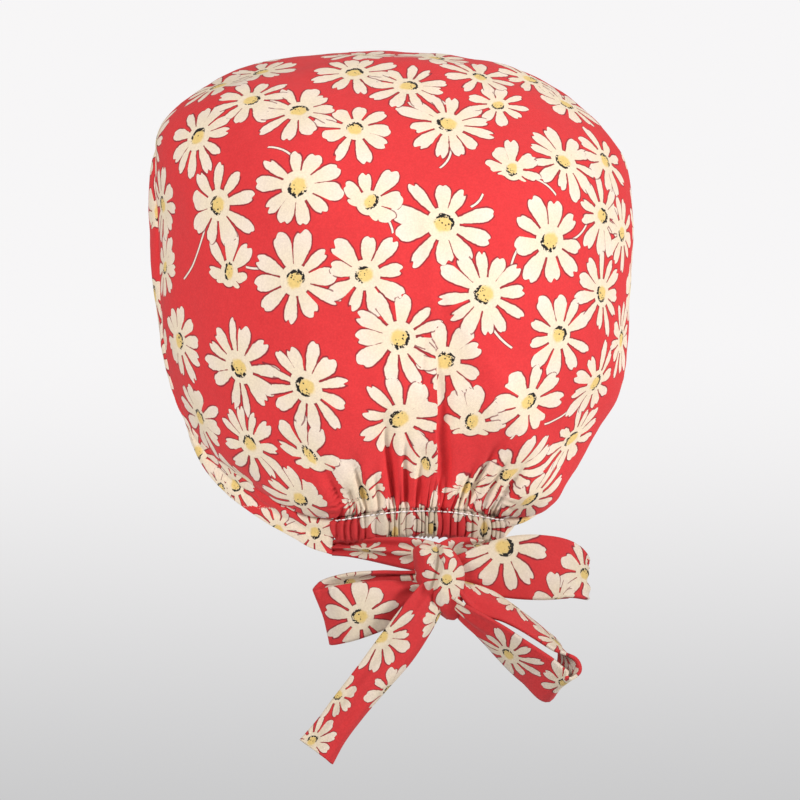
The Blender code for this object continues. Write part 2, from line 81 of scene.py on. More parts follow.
KNOT_BACK = 92.0 * MM
KNOT_DROP = 90.0 * MM
KNOT_HALF_WIDTH = 10.5 * MM
KNOT_HALF_DEPTH = 9.0 * MM
KNOT_HALF_LENGTH = 18.0 * MM
LEFT_LOOP = 57.0 * MM
RIGHT_LOOP = 69.0 * MM
LOWER_LOOP = 66.0 * MM
TAIL = 98.0 * MM

SeamRow = namedtuple(
    "SeamRow",
    "side back up square swell seam_tuck edge_side edge_back edge_up edge_tuck valley",
)
SEAM_ROWS = [SeamRow(*row) for row in (
    (0.364, 0.935, 0.000, 1.50, 0.00, 0.0, 0.418, 1.000, 0.000, 0.2, 0.00),
    (0.467, 0.891, 0.008, 1.70, 0.01, -0.5, 0.508, 0.963, 0.032, 0.4, 0.00),
    (0.560, 0.839, 0.028, 1.85, 0.01, -0.3, 0.590, 0.920, 0.086, 0.7, 0.00),
    (0.705, 0.694, 0.088, 2.00, 0.02, 0.3, 0.735, 0.834, 0.189, 1.0, 0.05),
    (0.795, 0.589, 0.132, 2.10, 0.02, 0.5, 0.850, 0.755, 0.286, 1.0, 0.10),
    (0.872, 0.492, 0.194, 2.20, 0.02, 0.4, 0.945, 0.681, 0.416, 0.8, 0.15),
    (0.935, 0.435, 0.265, 2.30, 0.02, 0.1, 0.990, 0.620, 0.546, 0.5, 0.25),
    (0.978, 0.403, 0.368, 2.40, 0.02, 0.1, 1.000, 0.583, 0.632, 0.2, 0.35),
    (1.000, 0.395, 0.534, 2.40, 0.03, 0.2, 0.979, 0.528, 0.719, 0.0, 0.40),
    (1.008, 0.379, 0.667, 2.40, 0.04, 0.2, 0.926, 0.448, 0.795, 0.0, 0.40),
    (1.010, 0.331, 0.765, 2.45, 0.06, 0.7, 0.868, 0.362, 0.859, 0.0, 0.30),
    (0.968, 0.258, 0.848, 2.50, 0.08, 1.0, 0.783, 0.258, 0.924, 0.0, 0.20),
    (0.812, 0.169, 0.919, 2.55, 0.11, 1.1, 0.656, 0.153, 0.962, 0.0, 0.12),
    (0.605, 0.089, 0.962, 2.60, 0.135, 0.9, 0.487, 0.080, 0.984, 0.0, 0.08),
    (0.365, 0.024, 0.989, 2.60, 0.145, 0.4, 0.275, 0.025, 0.996, 0.0, 0.05),
    (0.000, 0.000, 1.000, 2.60, 0.16, 0.0, 0.000, 0.000, 1.000, 0.0, 0.05),
)]

# A deep fold over the casing: where its valley starts, how wide, deep and long it is
Fold = namedtuple("Fold", "side width depth length")
FOLDS = [Fold(*row) for row in (
    (0.93, 0.06, 3.0, 32), (0.80, 0.04, 2.4, 24), (0.66, 0.045, 3.8, 40), (0.48, 0.04, 2.6, 28),
    (0.33, 0.045, 5.6, 66), (0.19, 0.04, 4.6, 50), (0.05, 0.04, 3.4, 38), (-0.42, 0.045, 3.2, 34),
    (-0.53, 0.045, 4.6, 48), (-0.70, 0.045, 3.6, 40), (-0.88, 0.06, 3.6, 38),
)]

TieRow = namedtuple("TieRow", "reach lift out width lean curl")
LEFT_LOOP_HEADING = -18.0
LEFT_LOOP_ROWS = [TieRow(*row) for row in (
    (0.02, -0.04, 0.06, 0.36, 0, 70), (0.20, -0.05, 0.02, 0.50, 0, 70),
    (0.42, -0.03, 0.10, 0.76, 0, 45), (0.68, 0.01, 0.12, 0.94, 0, 28),
    (0.88, 0.05, 0.03, 1.00, 0, 12), (0.97, 0.08, -0.18, 1.00, 0, 0),
    (0.90, 0.18, -0.40, 1.00, 10, 12), (0.68, 0.26, -0.40, 0.90, 20, 30),
    (0.42, 0.26, -0.28, 0.64, 20, 50), (0.20, 0.20, -0.17, 0.40, 10, 70),
    (0.02, 0.14, -0.12, 0.34, 0, 70),
)]
RIGHT_LOOP_HEADING = 174.0
RIGHT_LOOP_ROWS = [TieRow(*row) for row in (
    (0.02, -0.12, 0.06, 0.36, 0, 40), (0.20, -0.15, 0.02, 0.66, 0, 50),
    (0.40, -0.14, 0.02, 1.00, 0, 35), (0.66, -0.08, 0.08, 1.12, 0, 22),
    (0.86, 0.03, 0.06, 0.98, 0, 12), (0.99, 0.24, -0.12, 0.64, 4, 0),
    (0.92, 0.12, -0.34, 0.84, 0, 12), (0.68, 0.02, -0.40, 0.95, 0, 22),
    (0.42, -0.04, -0.30, 0.74, 0, 40), (0.20, -0.08, -0.20, 0.42, 0, 40),
    (0.02, -0.06, -0.16, 0.34, 0, 40),
)]
# Turned from the solid's rows, so that the slot between its two layers shows
LOWER_LOOP_HEADING = 216.0
LOWER_LOOP_ROWS = [TieRow(*row) for row in (
    (0.06, -0.14, 0.16, 0.34, 90, 60), (0.22, -0.22, 0.26, 0.70, 52, 80),
    (0.46, -0.31, 0.34, 0.86, 63, 55), (0.74, -0.32, 0.38, 0.92, 72, 30),
    (0.93, -0.27, 0.40, 0.96, 80, 14), (1.01, -0.16, 0.42, 0.98, 100, 6),
    (1.06, 0.06, 0.46, 1.00, 128, 6), (1.06, 0.27, 0.50, 1.00, 128, 10),
    (0.86, 0.33, 0.50, 0.98, 124, 28), (0.52, 0.30, 0.44, 0.84, 118, 44),
    (0.25, 0.28, 0.32, 0.60, 108, 55), (0.04, 0.14, 0.18, 0.30, 90, 60),
)]
TAIL_HEADING = -52.0
TAIL_ROWS = [TieRow(*row) for row in (
    (0.03, 0.02, 0.22, 0.52, 0, 60), (0.14, 0.02, 0.34, 0.63, 0, 50),
    (0.38, -0.01, 0.40, 0.72, 0, 50), (0.56, 0.00, 0.40, 0.67, 0, 60),
    (0.74, 0.01, 0.36, 0.64, 0, 70), (0.88, 0.00, 0.32, 0.64, 0, 60),
    (0.985, -0.01, 0.30, 0.72, 0, 30),
)]


# The knot's outline from top to bottom in mm: both sides, height and half depth
KNOT_ROWS = (
    (4.0, -5.0, -72.6, 3.0), (6.4, -8.5, -73.8, 6.0), (6.6, -12.5, -77.5, 8.4),
    (6.0, -15.3, -82.5, 9.4), (5.0, -15.8, -89.3, 9.8), (2.2, -15.4, -95.0, 9.4),
    (-1.2, -14.8, -99.6, 8.2), (-4.6, -14.0, -103.2, 6.2), (-7.0, -13.0, -105.4, 4.0),
    (-8.5, -11.8, -106.4, 1.5),
)
KNOT_STEPS = 90
KNOT_AROUND = 120

# Finish of the cloth
RUFFLES = 25
RUFFLE_DEPTH = 2.2 * MM
GATHER = 0.85
GATHER_LENGTH = 46.0 * MM
SEAM_GROOVE = 0.75 * MM
SEAM_ROLL = 1.3 * MM
THREAD = 0.34 * MM
STITCH = 2.1 * MM
STITCH_PITCH = 1.25 * STITCH
STITCH_RINGS = 6
STITCH_SIDES = 6
TIE_PLEAT = 1.8 * MM
CASING_CLOTH = 0.8 * MM
WEAVE_STRENGTH = 0.45
WEAVE_DEPTH = 0.35 * MM

CAMERA_AZIMUTH = 168.5
CAMERA_DISTANCE = 4.0
SENSOR = 36.0
FRAME = 800
PIXELS_PER_METRE = 2150.0
CENTRE_COLUMN = 388.0
ORIGIN_ROW = 385.0

# Linear colours
RED = (0.76, 0.042, 0.046, 1.0)
DEEP_RED = (0.62, 0.026, 0.030, 1.0)
CREAM = (0.88, 0.775, 0.585, 1.0)
CREAM_TIP = (0.91, 0.80, 0.68, 1.0)
OUTLINE = (0.20, 0.018, 0.03, 1.0)
YELLOW = (0.83, 0.62, 0.22, 1.0)
INK = (0.012, 0.010, 0.010, 1.0)
WRONG_SIDE = (0.62, 0.40, 0.34, 1.0)
WRONG_SIDE_PALE = (0.66, 0.53, 0.44, 1.0)
CREAM_STREAK = (0.76, 0.63, 0.48, 1.0)
THREAD_SHADE = (0.90, 0.88, 0.88, 1.0)
THREAD_WHITE = (0.90, 0.86, 0.83, 1.0)
THREAD_GREY = (0.78, 0.72, 0.69, 1.0)
FLOOR_GREY = (0.8, 0.8, 0.81, 1.0)
WALL_LOW = (0.56, 0.56, 0.565, 1.0)
WALL_HIGH = (0.93, 0.92, 0.925, 1.0)
CAST_LOW = (0.24, 0.24, 0.25, 1.0)
CAST_HIGH = (0.46, 0.46, 0.47, 1.0)

# Flowers and stems of the print that show in the photograph, by their places there in pixels
Flower = namedtuple("Flower", "column row radius petals turn squash", defaults=(1.0,))
CROWN_FLOWERS = [Flower(*row) for row in (
    (251, 100, 18, 10, 20), (198, 137, 19, 11, 75), (219, 86, 18, 10, 40),
    (262, 72, 17, 9, 15), (622, 233, 17, 10, 25), (299, 111, 19, 10, 10),
    (355, 129, 18, 9, 40), (354, 73, 19, 10, 60), (408, 86, 19, 11, 15),
    (436, 58, 18, 9, 35), (448, 124, 21, 12, 5), (480, 77, 17, 9, 50),
    (498, 105, 16, 9, 30, 0.8), (530, 79, 18, 10, 0), (566, 104, 18, 10, 25),
    (512, 170, 17, 8, 70, 0.6), (564, 161, 19, 11, 12), (605, 161, 17, 9, 44),
    (602, 216, 18, 10, 8), (550, 241, 21, 9, 33), (443, 224, 21, 10, 18),
    (485, 294, 21, 12, 4), (602, 293, 18, 11, 28), (298, 186, 21, 10, 66),
    (218, 205, 20, 9, 14), (369, 203, 18, 8, 52, 0.62), (163, 205, 18, 10, 30),
    (229, 274, 18, 8, 80, 0.6), (295, 280, 20, 10, 42), (365, 275, 19, 9, 7),
    (165, 267, 17, 9, 21, 0.8), (399, 338, 21, 11, 48), (179, 341, 18, 10, 36),
    (239, 367, 21, 12, 24), (306, 387, 21, 12, 2), (400, 419, 21, 10, 58),
    (200, 418, 18, 10, 16), (250, 444, 19, 11, 46, 0.85), (311, 458, 19, 9, 74, 0.65),
    (364, 493, 19, 9, 11, 0.9), (445, 361, 19, 9, 62), (559, 335, 18, 10, 20),
    (595, 383, 18, 10, 54, 0.9), (528, 402, 20, 8, 38, 0.85), (472, 424, 19, 8, 85, 0.6),
    (572, 439, 18, 11, 27, 0.85), (510, 474, 19, 11, 9, 0.9), (529, 500, 18, 10, 50, 0.8),
    (426, 466, 17, 10, 90, 0.55), (467, 488, 17, 9, 15, 0.8), (300, 499, 17, 9, 63, 0.9),
    (395, 533, 17, 10, 20), (432, 529, 17, 9, 57), (484, 528, 17, 9, 13),
)]
BAND_FLOWERS = [Flower(*row) for row in (
    (197, 452, 16, 10, 25), (236, 484, 15, 9, 31), (257, 518, 11, 10, 63),
    (315, 532, 14, 9, 40), (345, 547, 13, 10, 12),
)]
Stem = namedtuple("Stem", "column row end_column end_row bend")
CROWN_STEMS = [Stem(*row) for row in (
    (268, 147, 295, 160, 0.25), (207, 220, 184, 279, 0.18), (383, 215, 393, 233, 0.2),
    (246, 267, 274, 265, -0.15), (451, 149, 440, 168, 0.2), (529, 177, 556, 195, 0.2),
    (471, 207, 483, 194, -0.2), (523, 242, 511, 267, -0.15), (573, 239, 588, 220, -0.2),
    (490, 324, 512, 348, -0.12), (429, 365, 422, 402, 0.25), (485, 416, 500, 406, 0.1),
    (518, 418, 513, 439, 0.15), (582, 395, 545, 424, 0.22), (426, 485, 415, 502, 0.1),
)]
CHOSEN_SPACING = 32.5 * MM
SCATTER_SPACING = 29.0 * MM
SCATTER_SEED = 11
FLOWER_SCALE = 1.2
SIDEVIEW = 6000
PLEAT_HIDDEN = 11.0 * MM
CREASE_SIDE = 6.8 * MM
NOTCH_SIDE = -100.0 * MM
NOTCH_LEVEL = 114.0 * MM

# Flowers on the ties, by the share of the strip's length and how far they lie across it
TieFlower = namedtuple("TieFlower", "along across radius petals turn")
LEFT_LOOP_FLOWERS = [TieFlower(*row) for row in (
    (0.02, 4, 15, 9, 10), (0.34, -3, 20, 9, 20), (0.68, 8, 15, 10, 40),
    (0.92, -4, 15, 9, 5),
)]
RIGHT_LOOP_FLOWERS = [TieFlower(*row) for row in (
    (0.20, -9, 23, 10, 12), (0.47, -2, 17, 9, 70), (0.39, 15, 15, 8, 20),
    (0.78, 5, 17, 10, 33),
)]
LOWER_LOOP_FLOWERS = [TieFlower(*row) for row in (
    (0.04, -6, 14, 10, 15), (0.20, -8, 17, 10, 60), (0.37, 2, 17, 10, 25),
    (0.53, 6, 14, 9, 70), (0.72, -1, 18, 11, 45), (0.97, 6, 15, 9, 5),
)]
TAIL_FLOWERS = [TieFlower(*row) for row in (
    (0.12, -13, 16, 9, 20), (0.37, 12, 21, 11, 35), (0.55, -14, 15, 9, 10),
    (0.72, 12, 14, 8, 50), (0.97, 7, 15, 10, 15),
)]
STRAP_FLOWERS = [TieFlower(*row) for row in (
    (0.32, 2, 12, 9, 15), (0.82, -2, 15, 9, 50),
)]


def share(low, high, part):
    return low + (high - low) * part


def smooth_step(value, start, end):
    part = np.clip((value - start) / (end - start), 0.0, 1.0)
    return part * part * (3.0 - 2.0 * part)


def fall(value, start, end):
    return 1.0 - smooth_step(value, start, end)


def bell(value, width):
    return np.exp(-((value / width) ** 2))


def hermite(part):
    """Weights of the start, its slope, the end and its slope, at a share of the way between."""
    return (
        2 * part**3 - 3 * part**2 + 1,
        part**3 - 2 * part**2 + part,
        3 * part**2 - 2 * part**3,
        part**3 - part**2,
    )


def through(rows, at):
    """A smooth curve through rows of numbers, at shares 0 to 1 of its length in the first three."""
    rows = np.asarray(rows, float)
    steps = np.linalg.norm(np.diff(rows[:, :3], axis=0), axis=1)
    knots = np.concatenate([[0.0], np.cumsum(steps)]) / steps.sum()
    slopes = np.gradient(rows, knots, axis=0)
    at = np.asarray(at, float)
    piece = np.clip(np.searchsorted(knots, at, side="right") - 1, 0, len(knots) - 2)
    span = (knots[piece + 1] - knots[piece])[:, None]
    begin, leave, end, arrive = hermite(((at - knots[piece]) / span[:, 0])[:, None])
    return (
        begin * rows[piece]
        + leave * span * slopes[piece]
        + end * rows[piece + 1]
        + arrive * span * slopes[piece + 1]
    )


def unit(vectors):
    return vectors / np.maximum(np.linalg.norm(vectors, axis=-1, keepdims=True), 1e-12)


def waves(points, size, seed, octaves=3):
    """A smooth field of dents between -1 and 1, made of sine waves in seeded directions."""
    draw = np.random.default_rng(seed)
    total = np.zeros(points.shape[:-1])
    for octave in range(octaves):
        for _ in range(4):
            way = unit(draw.normal(size=3))
            total += np.sin(
                (points @ way) * (2 * math.pi * 1.7**octave / size) + draw.uniform(0, 6.28)
            ) / (4 * 1.6**octave)
    return total


def half_seam(side):
    made = []
    for row in SEAM_ROWS:
        tucked = 1.0 if side < 0 else 0.0
        x = row.side * SEAM_HALF_WIDTH - tucked * row.seam_tuck * SEAM_TUCK
        y = share(-SEAM_FORWARD, CASING_BACK, row.back)
        z = share(-SEAM_DROP, SEAM_TOP, row.up)
        edge_x = row.edge_side * EDGE_HALF_WIDTH - tucked * row.edge_tuck * EDGE_TUCK
        edge_y = share(-EDGE_FORWARD, EDGE_BACK, row.edge_back)
        edge_z = share(-EDGE_DROP, EDGE_TOP, row.edge_up) + tucked * row.edge_tuck * EDGE_TUCK_UP
        made.append(
            (side * x, y, z, row.square, row.swell, side * edge_x, edge_y, edge_z, row.valley)
        )
    return made


def seam_at(at):
    return through(half_seam(1) + half_seam(-1)[-2::-1], at)


def crossing_at(along):
    from_end = np.minimum(along, 1.0 - along)
    upward = fall(from_end, 0.0, 0.10)
    return unit(np.stack([np.zeros_like(upward), 1.0 - upward, upward], axis=-1))


def casing_at(at):
    right, left = seam_at([1.0])[0], seam_at([0.0])[0]
    middle = np.array(
        [0.0, CASING_BACK, share(right[2], left[2], 0.5) + CASING_ARCH, 1.3, 0.0]
    )
    rows = [right[:5]]
    for end, parts in ((right, (0.35, 0.7, 1.0)), (left, (0.7, 0.35))):
        for part in parts:
            bow = math.sin(part * math.pi / 2)
            rows.append(
                [share(end[0], middle[0], part)]
                + [share(end[k], middle[k], bow) for k in range(1, 5)]
            )
    rows.append(left[:5])
    return through(rows, at)


def casing_half_width():
    return SEAM_ROWS[0].side * SEAM_HALF_WIDTH


def fold_angle(x, z):
    top = -SEAM_DROP + CASING_ARCH
    reach = np.maximum(z - top, 0.0) + FOLD_FAN
    return x * FOLD_FAN / reach / casing_half_width()


def ruffle_phase(angle):
    return angle * RUFFLES * 0.5 + 0.55 * np.sin(angle * 6.1) + 0.30 * np.sin(angle * 15.7 + 1.0)


def ruffle(angle):
    """Height of the small ruffles, 0 to 1: round crests of uneven width with sharp valleys."""
    return np.abs(np.cos(np.pi * ruffle_phase(angle))) ** 0.7


def gathers(x, z, distance):
    angle = fold_angle(x, z)
    across = fall(np.abs(angle), 0.90, 1.25)
    fine = RUFFLE_DEPTH * ruffle(angle) * fall(distance, 0.0, 25 * MM)
    lift = across * fine
    for fold in FOLDS:
        valley = bell(angle - fold.side, fold.width)
        rise = smooth_step(distance, -4 * MM, 9 * MM)
        fade = fall(distance, 0.25 * fold.length * MM, fold.length * MM)
        lift = lift - fold.depth * MM * valley * rise * fade
    return lift


def pleat(x, distance):
    """The pleat behind the middle of the head: its left side lies over its right side in a line."""
    away = x - PLEAT_SIDE - PLEAT_SLANT * distance
    sway = 0.5 * MM * np.sin(distance / (9 * MM)) + 0.3 * MM * np.sin(distance / (3.7 * MM))
    away = away + sway
    lip = smooth_step(away, -0.45 * MM, 0.35 * MM) * np.exp(-np.maximum(away, 0.0) / PLEAT_WIDTH)
    under = bell(away + 3.2 * MM, 3.4 * MM) * smooth_step(-away, -0.3 * MM, 0.5 * MM)
    deep = smooth_step(distance, 2 * MM, 24 * MM) * fall(distance, 50 * MM, 84 * MM)
    fade = fall(distance, 0.55 * PLEAT_LENGTH, PLEAT_LENGTH)
    ridge = bell(away, 3.0 * MM) * smooth_step(distance, 0.7 * PLEAT_LENGTH, PLEAT_LENGTH)
    ridge = ridge * fall(distance, 1.2 * PLEAT_LENGTH, 1.7 * PLEAT_LENGTH)
    crease = bell(x - CREASE_SIDE, 1.5 * MM) * smooth_step(distance, 58 * MM, 72 * MM)
    crease = crease * fall(distance, 84 * MM, 104 * MM)
    beyond = away + 6.0 * MM
    second = smooth_step(-beyond, -0.6 * MM, 0.6 * MM) * np.exp(np.minimum(beyond, 0.0) / (6 * MM))
    second = second * smooth_step(distance, 0, 12 * MM) * fall(distance, 26 * MM, 56 * MM)
    rises = PLEAT_DEPTH * lip * fade + 0.8 * MM * ridge + 1.1 * MM * second
    return rises - 2.4 * MM * under * deep - 1.0 * MM * crease


def top_gathers(along, distance):
    over = smooth_step(along, 0.28, 0.38) * fall(along, 0.62, 0.72)
    wave = 0.5 + 0.5 * np.sin(2 * np.pi * TOP_GATHERS * (along + 0.012 * np.sin(23.0 * along)))
    near = smooth_step(distance, 0.0, 8 * MM) * fall(distance, 16 * MM, 66 * MM)
    return 1.5 * TOP_GATHER_DEPTH * over * wave * near


def seam_puckers(along, distance):
    """Short creases that run off the seam, where the stitching draws the cloth."""
    wave = np.sin(2 * np.pi * 64 * (along + 0.006 * np.sin(41.0 * along)))
    other = 0.5 + 0.5 * np.sin(9.0 * along + 1.3)
    near = np.exp(-distance / (7 * MM)) * smooth_step(distance, 0, 2 * MM)
    return 0.35 * MM * wave * other * near


def roll_at_seam(distance):
    return -SEAM_GROOVE * fall(distance, 0.0, SEAM_ROLL)


def grid_normals(points, closed):
    if closed:
        along = np.roll(points, -1, axis=1) - np.roll(points, 1, axis=1)
    else:
        along = np.gradient(points, axis=1)
    return unit(np.cross(np.gradient(points, axis=0), along))


SEAM_STEPS = 300
CASING_STEPS = 230
CROWN_STEPS = 84
BAND_STEPS = 36


def crown_edge():
    seam_shares = np.linspace(0.0, 1.0, SEAM_STEPS + 1)
    casing_shares = np.linspace(0.0, 1.0, CASING_STEPS + 1)[1:-1]
    seam = seam_at(seam_shares)[:, :5]
    casing = casing_at(casing_shares)[:, :5]
    along = np.concatenate([seam_shares, np.full(len(casing_shares), -1.0)])
    edge = np.concatenate([seam, casing])
    tangent = np.roll(edge[:, :3], -1, axis=0) - np.roll(edge[:, :3], 1, axis=0)
    return edge, unit(np.cross(crossing_at(np.maximum(along, 0.0)), tangent)), along


def distances(points):
    steps = np.linalg.norm(np.diff(points, axis=0), axis=2)
    return np.concatenate([np.zeros((1, points.shape[1])), np.cumsum(steps, axis=0)])


def crown_points():
    """The crown's outer face, row by row from its edge to the middle of its back."""
    edge, walls, along = crown_edge()
    pole = np.array([0.0, CROWN_BACK, CROWN_MIDDLE])
    rows = []
    for part in np.linspace(0.0, 0.997, CROWN_STEPS) ** 1.15:
        square, swell = edge[:, 3], edge[:, 4]
        turn = part * math.pi / 2
        bump = part / 0.25 * math.exp(1.0 - part / 0.25) * (1.0 - part)
        width = math.cos(turn) ** (2.0 / square) + swell * bump
        depth = math.sin(turn) ** (2.0 / square)
        x = edge[:, 0] * width
        y = edge[:, 1] + (pole[1] - edge[:, 1]) * depth
        z = pole[2] + (edge[:, 2] - pole[2]) * width
        row = np.stack([x, y, z], axis=1)
        evened = np.mean([np.roll(row, step, axis=0) for step in range(-7, 8)], axis=0)
        rows.append(share(row, evened, smooth_step(part, 0.70, 0.88)))
    base = np.array(rows)
    normals = grid_normals(base, closed=True)
    distance = distances(base)
    from_casing = np.hypot(base[..., 2] + SEAM_DROP - CASING_ARCH, base[..., 1] - CASING_BACK)
    from_casing = np.where(base[..., 2] < CROWN_MIDDLE + 0.3 * SEAM_TOP, from_casing, 1.0)
    on_seam = (along >= 0.0)[None, :]
    level = np.where(on_seam, 1.0, smooth_step(distance, 0.0, 8 * MM))[..., None]
    normals = unit(normals * share(np.array([1.0, 1.0, 0.0]), np.ones(3), level))
    normals[0] = walls
    lift = gathers(base[..., 0], base[..., 2], from_casing) + pleat(base[..., 0], from_casing)
    lift = lift + top_gathers(along[None, :], distance)
    ease = smooth_step(distance, 0.0, 6 * MM)
    lift = lift * np.where(on_seam, ease, 1.0)
    lift = lift + np.where(on_seam, roll_at_seam(distance) + seam_puckers(along, distance), 0.0)
    lift = lift + 1.6 * MM * waves(base, 80 * MM, 3, 2) * ease
    lift = lift + 0.34 * MM * waves(base, 27 * MM, 5, 3) * ease
    high = smooth_step(base[..., 2], 0.80 * SEAM_TOP, 1.02 * SEAM_TOP)
    lift = lift + 1.1 * MM * waves(base, 44 * MM, 8, 2) * high * ease
    level = NOTCH_LEVEL - base[..., 2]
    beside = NOTCH_SIDE - base[..., 0]
    along_notch = 0.65 * beside + 0.76 * level
    off_notch = 0.76 * beside - 0.65 * level
    notch = np.exp(-((along_notch / (9 * MM)) ** 2) - (off_notch / (2.4 * MM)) ** 2)
    lift = lift - 2.6 * MM * notch * ease
    return base + normals * lift[..., None]


def band_points():
    """The front band's outer face, row by row from its face edge up to the seam."""
    along = np.linspace(0.0, 1.0, SEAM_STEPS + 1)
    made = seam_at(along)
    crossing = crossing_at(along)
    seam = made[:, 0:3] - crossing * 0.15 * MM
    edge = made[:, 5:8]
    valley = made[:, 8:9]
    length = np.linalg.norm(seam - edge, axis=1, keepdims=True)
    outward = unit(edge * np.array([1.0, 1.0, 0.0]))
    from_axis = unit((seam - np.array([0.0, 0.0, CROWN_MIDDLE])) * np.array([1.0, 0.0, 1.0]))
    leave = length * unit(outward * 0.22 + np.array([0.0, 0.0, 1.0]))
    arrive = length * 0.8 * (crossing - valley * from_axis)
    rails = (edge, leave, seam, arrive)
    base = np.array([
        sum(weight * rail for weight, rail in zip(hermite(part), rails))
        for part in np.linspace(0.0, 1.0, BAND_STEPS + 1)
    ])
    normals = grid_normals(base, closed=False)
    normals[-1] = crown_edge()[1][: SEAM_STEPS + 1]
    from_edge = distances(base)
    from_seam = from_edge[-1] - from_edge
    hem = -0.35 * MM * bell(from_edge - 11 * MM, 1.4 * MM)
    side = np.minimum(along, 1.0 - along)
    low = fall(side, 0.14, 0.24)
    crease = -1.3 * MM * low * bell(from_edge / from_edge[-1] - 0.5, 0.16)
    lift = roll_at_seam(from_seam) + seam_puckers(along + 0.004, from_seam) + hem + crease
    dents = 0.7 * MM * waves(base, 80 * MM, 9, 2) + 0.2 * MM * waves(base, 20 * MM, 2, 3)
    lift = lift + dents * smooth_step(from_seam, 0.0, 8 * MM)
    return base + normals * lift[..., None]


def casing_points():
    """The ruffled casing's outer face, row by row from its free rim up to the crown."""
    shares = np.linspace(0.004, 0.996, CASING_STEPS - 1)
    top = casing_at(shares)[:, :3]
    angle = top[:, 0] / casing_half_width()
    low, high = CASING_END_HEIGHT + CASING_HANG, CASING_HEIGHT + 0.4 * CASING_HANG
    height = share(low, high, np.sqrt(np.clip(1.0 - angle**2, 0.0, 1.0)))
    height = height * np.sqrt(1.0 - np.abs(angle) ** 26)
    outward = unit(top * np.array([1.0, 1.0, 0.0]))
    ends = fall(np.abs(angle), 0.92, 1.25)
    past = 1.8 * MM * np.sign(angle) * smooth_step(np.abs(angle), 0.85, 1.0)
    rows = []
    for part in np.linspace(1.0, 0.0, 22):
        drop = 0.1 * MM + height * part
        sway = angle + 0.02 * math.sin(3.0 * part) * np.sin(angle * 21.0)
        crest = RUFFLE_DEPTH * ruffle(sway) * share(1.0, 1.25, part)
        middle = top - np.outer(drop, (0.0, 0.0, 1.0)) - outward * (0.12 * drop)[:, None]
        swell = math.sin(math.pi * min(1.0, part * 1.02)) ** 0.7 * 0.9 * MM
        stitched = -0.7 * MM * math.exp(-(((part - 0.10) / 0.07) ** 2))
        rolled = -1.6 * MM * max(0.0, part - 0.9) / 0.1
        middle[:, 2] += crest * 0.5 * smooth_step(part, 0.6, 1.0)
        middle[:, 0] += past * smooth_step(part, 0.0, 0.3)
        rows.append(middle + outward * (crest * ends + swell + stitched + rolled)[:, None])
    return np.array(rows)


def add_object(name, data):
    made = bpy.data.objects.new(name, data)
    bpy.context.scene.collection.objects.link(made)
    return made


def add_mesh(name, places, faces):
    data = bpy.data.meshes.new(name)
    data.from_pydata(places.tolist(), [], faces)
    data.shade_smooth()
    return add_object(name, data)


def make_piece(name, points, closed=False):
    """A mesh from a grid of points. Closed rows end in a tip in the middle of the last."""
    rows, columns = points.shape[:2]
    places = points.reshape(-1, 3)
    faces = []
    for i in range(rows - 1):
        low, high = i * columns, (i + 1) * columns
        for j in range(columns if closed else columns - 1):
            k = (j + 1) % columns
            faces.append((high + j, high + k, low + k, low + j))
    if closed:
        last, tip = (rows - 1) * columns, rows * columns
        places = np.concatenate([places, points[-1].mean(axis=0)[None, :]])
        faces += [(tip, last + (j + 1) % columns, last + j) for j in range(columns)]
    return add_mesh(name, places, faces)


def thicken(piece, thickness, inner_slot=0):
    wall = piece.modifiers.new("wall", "SOLIDIFY")
    wall.thickness = thickness
    wall.offset = -1.0
    wall.use_rim = True
    wall.use_even_offset = False
    wall.material_offset = inner_slot


def corner_places(data):
    places = np.empty(len(data.vertices) * 3)
    data.vertices.foreach_get("co", places)
    corners = np.empty(len(data.loops), dtype=np.int64)
    data.loops.foreach_get("vertex_index", corners)
    return places.reshape(-1, 3), corners


def face_of_corner(data):
    counts = np.empty(len(data.polygons), dtype=np.int64)
    data.polygons.foreach_get("loop_total", counts)
    return np.repeat(np.arange(len(counts)), counts), counts


def store(data, name, values):
    layer = data.attributes.new(name, "FLOAT_VECTOR", "CORNER")
    layer.data.foreach_set("vector", np.ascontiguousarray(values, dtype=np.float32).ravel())


Bloom = namedtuple("Bloom", "centre right up radius seed squash")
Stalk = namedtuple("Stalk", "centre right up half_length bend")


def flat_place(places, bloom):
    """Where points lie in a flower's plane, in flower radii, with the cloth unrolled round it."""
    offset = places - bloom.centre
    x = offset @ bloom.right
    y = offset @ bloom.up
    flat = np.hypot(x, y)
    stretch = np.linalg.norm(offset, axis=-1) / np.maximum(flat, 1e-9)
    return x * stretch / bloom.radius, y * stretch / (bloom.radius * bloom.squash)


